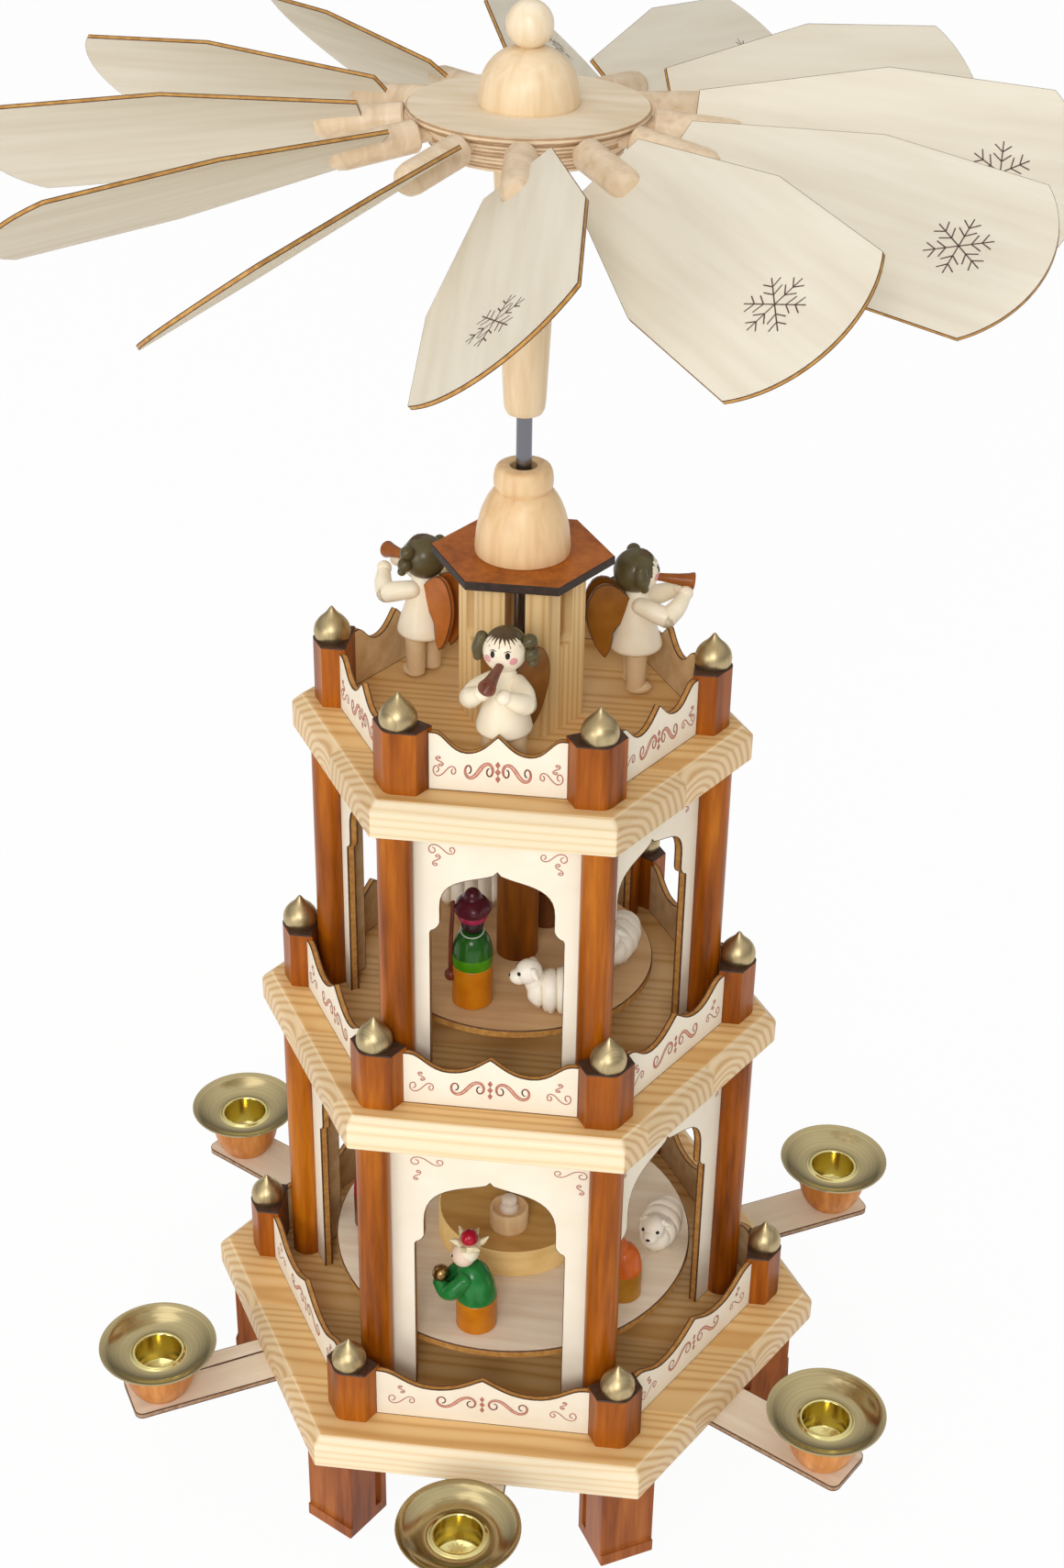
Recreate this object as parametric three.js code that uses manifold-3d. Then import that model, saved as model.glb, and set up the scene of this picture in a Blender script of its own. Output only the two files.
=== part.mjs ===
// A three-storey Christmas pyramid of wood. Warm air from six candles turns the fan on top,
// and the shaft below it carries two turntables with figures. Millimetres, +Z up, the table at
// z = 0, the axis of the shaft on x = y = 0 and one side of the hexagon facing -Y.
import * as THREE from 'three';
import { mergeVertices } from 'three/addons/utils/BufferGeometryUtils.js';
import Module from 'manifold-3d';

const wasm = await Module();
wasm.setup();

// Fits
const SEAT_GAP = 0.3;
const PANEL_BITE = 1.5;
const SHAFT_PASSAGE = 1.2;

// Boards, legs and storeys
const BOARD_THICKNESS = 12.3;
const BOARD_CHAMFER = 3.3;
const LEG_HEIGHT = 35.7;
const LEG_WIDTH = 20.3;
const LEG_DEPTH = 20;
const LEG_INSET = 6.5;
const LEG_STEP_HEIGHT = 5;
const LEG_STEP_DEPTH = 1;
const LEG_GROOVE_WIDTH = 3;
const LEG_GROOVE_DEPTH = 1.5;
const LEG_GROOVE_INSET = 3;
const LOWER_STOREY_HEIGHT = 116.1;
const UPPER_STOREY_HEIGHT = 101.9;

// Columns and arch panels
const COLUMN_DIAMETER = 11.5;
const UPPER_COLUMN_CIRCLE = 65;
const LOWER_COLUMN_INSET = 13;
const UPPER_BOARD_OVERHANG = 12;
const PANEL_THICKNESS = 3;
const PANEL_SETBACK = 2.1;
const LOWER_ARCH_LEG = 7.85;
const LOWER_ARCH_NOTCH_HEIGHT = 66;
const LOWER_ARCH_PEAK_BELOW_BOARD = 20.3;
const UPPER_ARCH_LEG = 4.95;
const UPPER_ARCH_NOTCH_HEIGHT = 59.5;
const UPPER_ARCH_PEAK_BELOW_BOARD = 17.4;
const ARCH_NOTCH_DEPTH = 3.3;
const ARCH_NOTCH_RISE = 3.2;
const ARCH_SPRING_RISE = 10.5;
const ARCH_HAUNCH_DROP = 3;
const ARCH_CROWN_DROP = 4;
const ARCH_CROWN_SHARE = 0.4;

// Balustrades
const LOWER_POST_STANDOFF = 15.15;
const MIDDLE_POST_STANDOFF = 11.95;
const LOWER_POST_INSET = 19.85;
const MIDDLE_POST_INSET = 15.1;
const UPPER_POST_INSET = 14.65;
const POST_WIDTH = 17.3;
const POST_INNER_DEPTH = 5.9;
const POST_SIDE_DEPTH = 2.1;
const POST_NOSE_ROUNDING = 2.3;
const POST_HEIGHT = 22;
const FINIAL_DIAMETER = 12;
const FINIAL_HEIGHT = 13.6;
const FINIAL_PROFILE = [[0, 0], [0.62, 0], [0.97, 0.2], [0.9, 0.42], [0.45, 0.68], [0.2, 0.88], [0, 1]];
const FINIAL_SINK = 2.3;
const RAIL_THICKNESS = 2.2;
const RAIL_OFFSET = 0.9;
const RAIL_HEIGHT = 20.2;
const RAIL_DIP = 6.4;
const RAIL_END_FLAT = 2;
const RAIL_PEAK_DROP = 1;

// Candle arms, cups and brass drip pans
const ARM_WIDTH = 21;
const ARM_THICKNESS = 2.2;
const ARM_UNDER_BOARD = 38;
const ARM_CORNER = 3;
const CUP_REACH = 39.5;
const CUP_TO_ARM_END = 12;
const CUP_HEIGHT = 16.5;
const CUP_TOP_DIAMETER = 27;
const CUP_FOOT_DIAMETER = 17;
const CUP_PROFILE = [[0, 0], [0.45, 0.3], [0.82, 0.65], [1, 0.95], [0.9, 1]];
const PAN_DIAMETER = 42;
const PAN_RISE = 4.7;
const PAN_THICKNESS = 0.8;
const SOCKET_BORE = 16.3;
const SOCKET_DEPTH = 10.5;
const SOCKET_LIP = 0.9;

// Shaft, bearing and turntables
const SHAFT_DIAMETER = 5;
const SHAFT_POINT = 3;
const BEARING_DIAMETER = 14;
const BEARING_HEIGHT = 9;
const BEARING_FLOOR = 2;
const TURNTABLE_THICKNESS = 3.2;
const LOWER_TURNTABLE_LIFT = 16.2;
const UPPER_TURNTABLE_LIFT = 14.4;
const LOWER_TURNTABLE_CLEARANCE = 2.1;
const UPPER_TURNTABLE_CLEARANCE = 8.2;
const PILLAR_DIAMETER = 14.5;
const PILLAR_TOP_GAP = 3;
const PLINTH_DIAMETER = 56;
const PLINTH_HEIGHT = 11.5;
const PLINTH_CHAMFER = 1;
const CRIB_DIAMETER = 14.2;
const CRIB_HEIGHT = 9.5;
const CRIB_WALL = 1.3;
const CRIB_OFFSET = 13;
const CRIB_PROFILE = [[0.9, 0], [1, 0.13], [1, 1]];
const BABY_DIAMETER = 6.4;
const BABY_HEIGHT = 12.3;
const BABY_PROFILE = [[0.88, 0], [1, 0.46], [0.81, 0.73], [0.44, 0.92], [0, 1]];

// Tower, roof and bell
const TOWER_DIAMETER = 41;
const TOWER_HEIGHT = 54.8;
const TOWER_SLOT_WIDTH = 6.5;
const TOWER_SLOT_SILL = 29;
const TOWER_BORE = 9;
const ROOF_DIAMETER = 59;
const ROOF_THICKNESS = 3;
const BELL_DIAMETER = 30.6;
const BELL_HEIGHT = 21.2;
const BELL_PROFILE = [[1, 0], [0.99, 0.19], [0.95, 0.43], [0.86, 0.66], [0.74, 0.85]];
const COLLAR_DIAMETER = 18.8;
const COLLAR_HEIGHT = 8;
const COLLAR_PROFILE = [[0.93, 0], [1, 0.3], [1, 0.65], [0.85, 1]];
const COLLAR_BORE = 8.5;

// Fan
const SHAFT_SHOWING = 17;
const SLEEVE_LENGTH = 82.9;
const SLEEVE_FOOT_DIAMETER = 13;
const SLEEVE_TOP_DIAMETER = 20.8;
const SLEEVE_FOOT_PROFILE = [[0.7, 0], [0.95, 1.5], [1, 4]];
const HUB_LAYERS = 5;
const HUB_LAYER_THICKNESS = 2;
const HUB_FOOT_DIAMETER = 56;
const HUB_LAYER_STEP = 1.25;
const HUB_DISC_DIAMETER = 70.8;
const HUB_DISC_THICKNESS = 2;
const CAP_DIAMETER = 29.4;
const CAP_HEIGHT = 16.4;
const CAP_PROFILE = [[1, 0], [0.985, 0.24], [0.9, 0.55], [0.71, 0.79], [0.44, 0.95]];
const CAP_BALL_DIAMETER = 13.8;
const CAP_NECK_SHARE = 0.46;
const CAP_BALL_STEPS = 7;
const VANE_COUNT = 12;
const FIRST_VANE_AZIMUTH = -116;
const VANE_DROOP = 6.26;
const VANE_AXIS_RISE = 10.9;
const VANE_ROOT = 48;
const VANE_ROOT_WIDTH = 24;
const VANE_WIDTH = 53;
const VANE_SHOULDER = 101.5;
const VANE_TIP_CORNER = 150;
const VANE_TIP = 162;
const VANE_THICKNESS = 2;
const VANE_SET = [36, 40, 39, 35, 55, 54, 39, 41, 42, 44, 41, 33];
const PEG_DIAMETER = 9.5;
const PEG_LENGTH = 27;
const PEG_GAP = 0.6;
const SPIGOT_DIAMETER = 5;
const SPIGOT_LENGTH = 10;

// Angels: each faces outward but for a small turn, and its wings are swept back by an angle
const ANGEL_CIRCLE = 41;
const ANGEL_TURN_ANGLES = [-6, -16, -6];
const ANGEL_LEG_SPREAD = 3.8;
const ANGEL_ANKLE_RADIUS = 3.2;
const ANGEL_THIGH_RADIUS = 3.8;
const ANGEL_THIGH_RISE = 1.5;
const ANGEL_HEM = 15.5;
const ANGEL_DRESS = [
  [0, 0], [8.6, 0.5], [8.9, 1.9], [6.7, 8.5], [4.6, 15.5], [3.4, 20.5], [2.6, 23], [0, 23],
];
const ANGEL_FACE_RADIUS = 6.7;
const ANGEL_FACE_HEIGHT = 43.2;
const ANGEL_HAIR_RADIUS = 7.1;
const ANGEL_HAIR_SHIFT = [0, 1.1, 0.9];
const ANGEL_BUN_RADIUS = 2.6;
const ANGEL_BUN_REACH = 7.8;
const ANGEL_SHOULDER = [3.9, -0.5, 32.4];
const ANGEL_ELBOW = [9.2, -9, 30];
const ANGEL_HANDS = [[3.4, -15, 35], [-3.2, -15.6, 36]];
const ANGEL_SLEEVE_RADIUS = 2.6;
const ANGEL_HAND_RADIUS = 2.3;
const TRUMPET_MOUTH = [0, -5.5, 41];
const TRUMPET_END = [-2, -18.6, 40.4];
const TRUMPET_MOUTH_RADIUS = 1.1;
const TRUMPET_BELL_RADIUS = 2.7;
const WING_FOOT = 13.4;
const WING_HEIGHT = 27;
const WING_WIDTH = 15;
const WING_START = [0, 0.74];
const WING_CURVES = [
  [0.52, 1.12, 0.84, 0.94],
  [1.16, 0.7, 0.92, 0.34],
  [0.8, 0.12, 0.58, 0],
  [0.42, 0.1, 0.42, 0.32],
  [0.3, 0.46, 0, 0.56],
];
const WING_THICKNESS = 1.6;
const WING_SWEEP_ANGLES = [55, 84, 84];
const WING_SETBACK = 2;
const WING_SPREAD = 1.8;

// Kings, shepherd and guest: girth of the coat, height of its shoulder, how far head and hat lean
// to the figure's front, which is -X, and the profile of the hat from the shoulder up
const TURBAN = [[0, 5.5], [4.6, 5.5], [5.9, 7.5], [5.6, 10.5], [3.4, 12], [2.6, 15], [0, 16]];
const CROWN = [[0, 5.5], [4.2, 5.5], [5, 8], [5.6, 11.5], [3.6, 12], [2.6, 15], [0, 16]];
const HOOD = [[0, 4], [4.8, 4], [4.7, 7], [3.2, 10], [0, 12]];
const UPPER_KING = { girth: 13.8, shoulder: 28, headLean: 0, hatLean: 0, hat: TURBAN };
const LOWER_KING = { girth: 14.7, shoulder: 28, headLean: -4.6, hatLean: -2.6, hat: CROWN };
const RED_KING = { girth: 14.2, shoulder: 28, headLean: 0, hatLean: 0, hat: TURBAN };
const SHEPHERD = { girth: 13.4, shoulder: 22, headLean: -5.5, hatLean: -5, hat: HOOD };
const UPPER_GUEST = { girth: 13.8, shoulder: 27, headLean: 0, hatLean: 0, hat: TURBAN };
const COAT_PROFILE = [[0, 0], [1, 0], [1, 0.5], [0.97, 0.64], [0.85, 0.82], [0.55, 0.96], [0.3, 1], [0, 1]];
const KING_FACE_RADIUS = 4.2;
const NECK_START_SHARE = 0.6;
const NECK_LEAN_SHARE = 0.2;
const NECK_WIDTH_SHARE = 0.75;
const HEAD_SEAT_SHARE = 0.86;
const STAFF_AT = -2;
const STAFF_LEAN = 1;
const STAFF_HEIGHT = 40;
const STAFF_RADIUS = 0.8;
const GIFT_RADIUS = 2.2;
const GIFT_HEIGHT = 11;
const OFFERING_RADIUS = 2.9;
const OFFERING = [-12.4, -1, 21.5];
const OFFERING_ELBOW = [-11, 4, 16.5];
const OFFERING_SHOULDER = [-2.5, 4, 23];
const UPPER_ARM_RADIUS = 3.6;
const FOREARM_RADIUS = 2.7;
const WRIST_RADIUS = 1.9;

// Sheep
const SHEEP_LENGTH = 24;
const SHEEP_HEIGHT = 19.5;
const SHEEP_RIBS = 5;
const SHEEP_GROOVE = 0.9;
const SHEEP_BARREL_SHARE = 0.39;
const SHEEP_SWELL = 1.25;
const SHEEP_FOOT_LENGTH_SHARE = 0.75;
const SHEEP_FOOT_WIDTH_SHARE = 0.6;
const SHEEP_HEAD_SHARE = 0.25;
const SHEEP_HEAD_REACH_SHARE = 0.95;

// Spots on the turntables: azimuth and circle of the spot, and the turn of the figure's own +X
const LOWER_KING_SPOT = [-97, 52.8, 0];
const SHEPHERD_SPOT = [-34, 53.2, 0];
const RED_KING_SPOT = [185, 52.8, 180];
const LOWER_SHEEP_SPOT = [1, 55.5, 78];
const UPPER_KING_SPOT = [-110, 33, 0];
const UPPER_GUEST_SPOT = [70, 22.5, 0];
const UPPER_SHEEP_SPOTS = [[-58, 37, 10], [3, 35, 78], [128, 33, 10]];

// Levels and circles that follow from the sizes above
const SIDES = 6;
const FLAT = Math.cos(Math.PI / SIDES);
const lowerTop = LEG_HEIGHT + BOARD_THICKNESS;
const middleTop = lowerTop + LOWER_STOREY_HEIGHT + BOARD_THICKNESS;
const upperTop = middleTop + UPPER_STOREY_HEIGHT + BOARD_THICKNESS;
const towerTop = upperTop + TOWER_HEIGHT;
const roofTop = towerTop + ROOF_THICKNESS;
const bellTop = roofTop + BELL_HEIGHT + COLLAR_HEIGHT;
const sleeveFoot = bellTop + SHAFT_SHOWING;
const hubFoot = sleeveFoot + SLEEVE_LENGTH;
const hubTop = hubFoot + HUB_LAYERS * HUB_LAYER_THICKNESS + HUB_DISC_THICKNESS;
const vaneAxisHeight = hubFoot + VANE_AXIS_RISE;
const upperBoardRadius = UPPER_COLUMN_CIRCLE + UPPER_BOARD_OVERHANG;
const upperPostCircle = upperBoardRadius - UPPER_POST_INSET;
const middlePostCircle = UPPER_COLUMN_CIRCLE + MIDDLE_POST_STANDOFF;
const middleBoardRadius = middlePostCircle + MIDDLE_POST_INSET;
const lowerColumnCircle = middleBoardRadius - LOWER_COLUMN_INSET;
const lowerPostCircle = lowerColumnCircle + LOWER_POST_STANDOFF;
const lowerBoardRadius = lowerPostCircle + LOWER_POST_INSET;
const cupCircle = lowerBoardRadius * FLAT + CUP_REACH;
const boreRadius = SHAFT_DIAMETER / 2 + SEAT_GAP;
const pegStart = HUB_DISC_DIAMETER / 2 + PEG_GAP;

// Finishes
const PINE = { color: 0xe0bf86, roughness: 0.55, metalness: 0 };
const STAIN = { color: 0x9a5218, roughness: 0.35, metalness: 0 };
const WHITE = { color: 0xf3eee6, roughness: 0.6, metalness: 0 };
const BIRCH = { color: 0xe3d6c0, roughness: 0.6, metalness: 0 };
const TURNED = { color: 0xe3c6a0, roughness: 0.45, metalness: 0 };
const BRASS = { color: 0xb8a14a, roughness: 0.25, metalness: 1 };
const STEEL = { color: 0x8c8c90, roughness: 0.25, metalness: 1 };
const ENAMEL = { color: 0x1f6b2e, roughness: 0.25, metalness: 0 };
const ORANGE = { color: 0xc27a1e, roughness: 0.4, metalness: 0 };
const CRIMSON = { color: 0x8a1a2a, roughness: 0.4, metalness: 0 };
const IVORY = { color: 0xede6da, roughness: 0.5, metalness: 0 };

// Helpers
const radians = THREE.MathUtils.degToRad;

function solidOf(geometry) {
  const bare = geometry.clone();
  bare.deleteAttribute('normal');
  bare.deleteAttribute('uv');
  const welded = mergeVertices(bare, 1e-4);
  const corners = welded.index.array;
  const triangles = [];
  for (let i = 0; i < corners.length; i += 3) {
    const [a, b, c] = [corners[i], corners[i + 1], corners[i + 2]];
    if (a !== b && b !== c && c !== a) triangles.push(a, b, c);
  }
  return new wasm.Manifold(new wasm.Mesh({
    numProp: 3,
    vertProperties: new Float32Array(welded.attributes.position.array),
    triVerts: new Uint32Array(triangles),
  }));
}

function geometryOf(solid) {
  const mesh = solid.getMesh();
  const geometry = new THREE.BufferGeometry();
  geometry.setAttribute('position', new THREE.BufferAttribute(mesh.vertProperties, 3));
  geometry.setIndex(new THREE.BufferAttribute(mesh.triVerts, 1));
  geometry.computeVertexNormals();
  return geometry;
}

function join(pieces) {
  return geometryOf(pieces.map(solidOf).reduce((whole, piece) => whole.add(piece)));
}

function cut(base, tools) {
  return geometryOf(tools.map(solidOf).reduce((rest, tool) => rest.subtract(tool), solidOf(base)));
}

// A turned piece: the profile is a list of [radius, height], up the outside and back to its start.
function turned(profile, segments) {
  const points = profile.map(([r, z]) => new THREE.Vector2(r, z));
  return new THREE.LatheGeometry(points, segments).rotateX(Math.PI / 2);
}

// A profile given as shares of a radius and a height, standing on a foot.
function scaled(shares, radius, height, foot) {
  return shares.map(([across, up]) => [radius * across, foot + height * up]);
}

function ring(profile, segments) {
  return turned([...profile, profile[0]], segments);
}

function rod(radius, from, to, segments) {
  return turned([[0, from], [radius, from], [radius, to], [0, to]], segments);
}

// A hexagonal piece with its corners at azimuth 0, 60, ...
function hexagonal(profile) {
  return turned(profile, SIDES).rotateZ(Math.PI / 2);
}

function block(x0, x1, y0, y1, z0, z1) {
  return new THREE.BoxGeometry(x1 - x0, y1 - y0, z1 - z0)
    .translate((x0 + x1) / 2, (y0 + y1) / 2, (z0 + z1) / 2);
}

function plate(shape, thickness, curveSegments) {
  return new THREE.ExtrudeGeometry(shape, { depth: thickness, bevelEnabled: false, curveSegments });
}

// Stands a plate that was drawn in x, y upright, its outer face at the given distance facing +X.
function upright(geometry, distance) {
  return geometry.rotateX(Math.PI / 2).rotateZ(Math.PI / 2).translate(distance, 0, 0);
}

// A rod between two points, with a radius at each end.
function strut(from, to, fromRadius, toRadius, segments) {
  const start = new THREE.Vector3(...from);
  const way = new THREE.Vector3(...to).sub(start);
  const profile = [[0, 0], [fromRadius, 0], [toRadius, way.length()], [0, way.length()]];
  const turn = new THREE.Quaternion().setFromUnitVectors(new THREE.Vector3(0, 0, 1), way.normalize());
  return turned(profile, segments).applyQuaternion(turn).translate(start.x, start.y, start.z);
}

function ball(radius, [x, y, z], [sx, sy, sz] = [1, 1, 1], detail = 8) {
  return new THREE.SphereGeometry(radius, detail, detail - 2).rotateX(Math.PI / 2)
    .scale(sx, sy, sz).translate(x, y, z);
}

const pyramid = new THREE.Group();

function add(name, geometry, finish, parent = pyramid) {
  const mesh = new THREE.Mesh(geometry, new THREE.MeshStandardMaterial(finish));
  mesh.name = name;
  parent.add(mesh);
  return mesh;
}

// Boards: hexagons of edge-glued pine with a chamfered top edge; two let the shaft through.
function board(radius, top, holeRadius) {
  const foot = top - BOARD_THICKNESS;
  const shoulder = top - BOARD_CHAMFER;
  const flatRadius = radius - BOARD_CHAMFER / FLAT;
  const slab = hexagonal([[0, foot], [radius, foot], [radius, shoulder], [flatRadius, top], [0, top]]);
  return holeRadius > 0 ? cut(slab, [rod(holeRadius, foot - 1, top + 1, 16)]) : geometryOf(solidOf(slab));
}

// The bearing, a small turned cup in which the shaft's point stands, is set on the lowest board.
function bearingBoard() {
  const slab = board(lowerBoardRadius, lowerTop, 0);
  const cup = rod(BEARING_DIAMETER / 2, lowerTop - 1, lowerTop + BEARING_HEIGHT, 16);
  const bore = rod(boreRadius, lowerTop + BEARING_FLOOR, lowerTop + BEARING_HEIGHT + 1, 16);
  return cut(join([slab, cup]), [bore]);
}

const passage = SHAFT_DIAMETER / 2 + SHAFT_PASSAGE;
add('lower_board', bearingBoard(), PINE);
add('middle_board', board(middleBoardRadius, middleTop, passage), PINE);
add('upper_board', board(upperBoardRadius, upperTop, passage), PINE);

// Legs: stained blocks under the corners, with a plinth step outside and a groove in each side.
function leg() {
  const outer = lowerBoardRadius - LEG_INSET;
  const inner = outer - LEG_DEPTH;
  const half = LEG_WIDTH / 2;
  const shank = block(inner, outer - LEG_STEP_DEPTH, -half, half, 0, LEG_HEIGHT);
  const step = block(inner, outer, -half, half, 0, LEG_STEP_HEIGHT);
  const grooveStart = inner + LEG_GROOVE_INSET;
  const grooves = [-1, 1].map((side) => block(
    grooveStart,
    grooveStart + LEG_GROOVE_WIDTH,
    side > 0 ? half - LEG_GROOVE_DEPTH : -half - 1,
    side > 0 ? half + 1 : -half + LEG_GROOVE_DEPTH,
    LEG_STEP_HEIGHT,
    LEG_HEIGHT + 1,
  ));
  return cut(join([shank, step]), grooves);
}

for (let i = 0; i < SIDES; i += 1) {
  add(`leg_${i + 1}`, leg(), STAIN).rotation.z = radians(60 * i);
}

// Candle arms: plywood strips glued under the lower board, each with a turned cup on its end.
const armTop = LEG_HEIGHT;
const cupTop = armTop + CUP_HEIGHT;
const panFoot = cupTop + SEAT_GAP - SOCKET_DEPTH - PAN_THICKNESS;

function candleArm() {
  const start = lowerBoardRadius * FLAT - ARM_UNDER_BOARD;
  const end = cupCircle + CUP_TO_ARM_END;
  const half = ARM_WIDTH / 2;
  const outline = new THREE.Shape();
  outline.moveTo(start, -half);
  outline.lineTo(end - ARM_CORNER, -half);
  outline.quadraticCurveTo(end, -half, end, -half + ARM_CORNER);
  outline.lineTo(end, half - ARM_CORNER);
  outline.quadraticCurveTo(end, half, end - ARM_CORNER, half);
  outline.lineTo(start, half);
  const strip = plate(outline, ARM_THICKNESS, 3).translate(0, 0, armTop - ARM_THICKNESS);
  const foot = CUP_FOOT_DIAMETER / 2;
  const rim = CUP_TOP_DIAMETER / 2;
  const hole = SOCKET_BORE / 2 + PAN_THICKNESS + SEAT_GAP;
  const cup = turned([
    [0, armTop],
    ...CUP_PROFILE.map(([across, up]) => [foot + (rim - foot) * across, armTop + CUP_HEIGHT * up]),
    [hole, cupTop],
    [hole, panFoot - SEAT_GAP],
    [0, panFoot - SEAT_GAP],
  ], 14).translate(cupCircle, 0, 0);
  return join([strip, cup]);
}

// Drip pans: spun brass, with a shallow dish and a candle socket sunk into the cup.
function dripPan() {
  const bore = SOCKET_BORE / 2;
  const wall = bore + PAN_THICKNESS;
  const rim = PAN_DIAMETER / 2;
  const under = cupTop + SEAT_GAP;
  const over = under + PAN_THICKNESS;
  return turned([
    [0, panFoot],
    [wall, panFoot],
    [wall, under],
    [CUP_TOP_DIAMETER / 2, under],
    [rim, under + PAN_RISE],
    [rim, over + PAN_RISE],
    [CUP_TOP_DIAMETER / 2, over],
    [wall + SOCKET_LIP, over],
    [wall, over + SOCKET_LIP],
    [bore, over + SOCKET_LIP],
    [bore, panFoot + PAN_THICKNESS],
    [0, panFoot + PAN_THICKNESS],
  ], 14);
}

for (let i = 0; i < SIDES; i += 1) {
  const side = new THREE.Group();
  side.rotation.z = radians(60 * i - 90);
  pyramid.add(side);
  add(`candle_arm_${i + 1}`, candleArm(), BIRCH, side);
  add(`drip_pan_${i + 1}`, geometryOf(solidOf(dripPan())), BRASS, side).position.x = cupCircle;
}

// Arcades: round columns under the corners of the board above, joined by arched plywood panels.
function archPanel(halfWidth, legWidth, height, notchHeight, peakHeight) {
  const open = halfWidth - legWidth;
  const throat = open - ARCH_NOTCH_DEPTH;
  const spring = notchHeight + ARCH_SPRING_RISE;
  const haunch = peakHeight - ARCH_HAUNCH_DROP;
  const crown = peakHeight - ARCH_CROWN_DROP;
  const outline = new THREE.Shape();
  outline.moveTo(-halfWidth - PANEL_BITE, 0);
  outline.lineTo(-open, 0);
  outline.lineTo(-open, notchHeight);
  outline.lineTo(-throat, notchHeight + ARCH_NOTCH_RISE);
  outline.lineTo(-throat, spring);
  outline.bezierCurveTo(-throat, haunch, -throat * ARCH_CROWN_SHARE, crown, 0, peakHeight);
  outline.bezierCurveTo(throat * ARCH_CROWN_SHARE, crown, throat, haunch, throat, spring);
  outline.lineTo(throat, notchHeight + ARCH_NOTCH_RISE);
  outline.lineTo(open, notchHeight);
  outline.lineTo(open, 0);
  outline.lineTo(halfWidth + PANEL_BITE, 0);
  outline.lineTo(halfWidth + PANEL_BITE, height);
  outline.lineTo(-halfWidth - PANEL_BITE, height);
  return outline;
}

function arcade(circle, height, legWidth, notchHeight, peakHeight) {
  const halfWidth = (circle - COLUMN_DIAMETER) / 2;
  const outline = archPanel(halfWidth, legWidth, height, notchHeight, peakHeight);
  const pieces = [];
  for (let i = 0; i < SIDES; i += 1) {
    pieces.push(rod(COLUMN_DIAMETER / 2, 0, height, 10).translate(circle, 0, 0).rotateZ(radians(60 * i)));
    pieces.push(upright(plate(outline, PANEL_THICKNESS, 5), circle * FLAT - PANEL_SETBACK - PANEL_THICKNESS)
      .rotateZ(radians(60 * i + 30)));
  }
  return join(pieces);
}

add('lower_arcade', arcade(
  lowerColumnCircle,
  LOWER_STOREY_HEIGHT,
  LOWER_ARCH_LEG,
  LOWER_ARCH_NOTCH_HEIGHT,
  LOWER_STOREY_HEIGHT - LOWER_ARCH_PEAK_BELOW_BOARD,
), WHITE).position.z = lowerTop;
add('upper_arcade', arcade(
  UPPER_COLUMN_CIRCLE,
  UPPER_STOREY_HEIGHT,
  UPPER_ARCH_LEG,
  UPPER_ARCH_NOTCH_HEIGHT,
  UPPER_STOREY_HEIGHT - UPPER_ARCH_PEAK_BELOW_BOARD,
), WHITE).position.z = middleTop;

// Balustrades: a post with an onion finial at each corner, and a wavy fretwork rail between two.
function post() {
  const half = POST_WIDTH / 2;
  const slope = Math.PI / SIDES;
  const nose = POST_SIDE_DEPTH + half * Math.tan(slope);
  const round = POST_NOSE_ROUNDING;
  const outline = new THREE.Shape();
  outline.moveTo(-POST_INNER_DEPTH, -half);
  outline.lineTo(POST_SIDE_DEPTH, -half);
  outline.lineTo(nose - round * Math.tan(slope), -round);
  outline.quadraticCurveTo(nose, 0, nose - round * Math.tan(slope), round);
  outline.lineTo(POST_SIDE_DEPTH, half);
  outline.lineTo(-POST_INNER_DEPTH, half);
  return plate(outline, POST_HEIGHT, 4);
}

function finial() {
  return turned(scaled(FINIAL_PROFILE, FINIAL_DIAMETER / 2, FINIAL_HEIGHT, POST_HEIGHT - FINIAL_SINK), 8);
}

function railOutline(halfWidth) {
  const end = halfWidth - RAIL_END_FLAT;
  const low = RAIL_HEIGHT - RAIL_DIP;
  const shoulder = RAIL_HEIGHT - RAIL_PEAK_DROP;
  const outline = new THREE.Shape();
  outline.moveTo(-halfWidth - PANEL_BITE, 0);
  outline.lineTo(halfWidth + PANEL_BITE, 0);
  outline.lineTo(halfWidth + PANEL_BITE, RAIL_HEIGHT);
  outline.lineTo(end, RAIL_HEIGHT);
  outline.bezierCurveTo(end * 0.85, RAIL_HEIGHT, end * 0.75, low, end * 0.5, low);
  outline.bezierCurveTo(end * 0.25, low, end * 0.15, shoulder, 0, RAIL_HEIGHT);
  outline.bezierCurveTo(-end * 0.15, shoulder, -end * 0.25, low, -end * 0.5, low);
  outline.bezierCurveTo(-end * 0.75, low, -end * 0.85, RAIL_HEIGHT, -end, RAIL_HEIGHT);
  outline.lineTo(-halfWidth - PANEL_BITE, RAIL_HEIGHT);
  return outline;
}

function balustrade(circle) {
  const halfWidth = circle / 2 - POST_WIDTH / 2 / FLAT;
  const pieces = [];
  for (let i = 0; i < SIDES; i += 1) {
    pieces.push(post().translate(circle, 0, 0).rotateZ(radians(60 * i)));
    pieces.push(finial().translate(circle, 0, 0).rotateZ(radians(60 * i)));
    pieces.push(upright(plate(railOutline(halfWidth), RAIL_THICKNESS, 4),
      circle * FLAT + RAIL_OFFSET - RAIL_THICKNESS).rotateZ(radians(60 * i + 30)));
  }
  return join(pieces);
}

add('lower_balustrade', balustrade(lowerPostCircle), STAIN).position.z = lowerTop;
add('middle_balustrade', balustrade(middlePostCircle), STAIN).position.z = middleTop;
add('upper_balustrade', balustrade(upperPostCircle), STAIN).position.z = upperTop;

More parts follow.
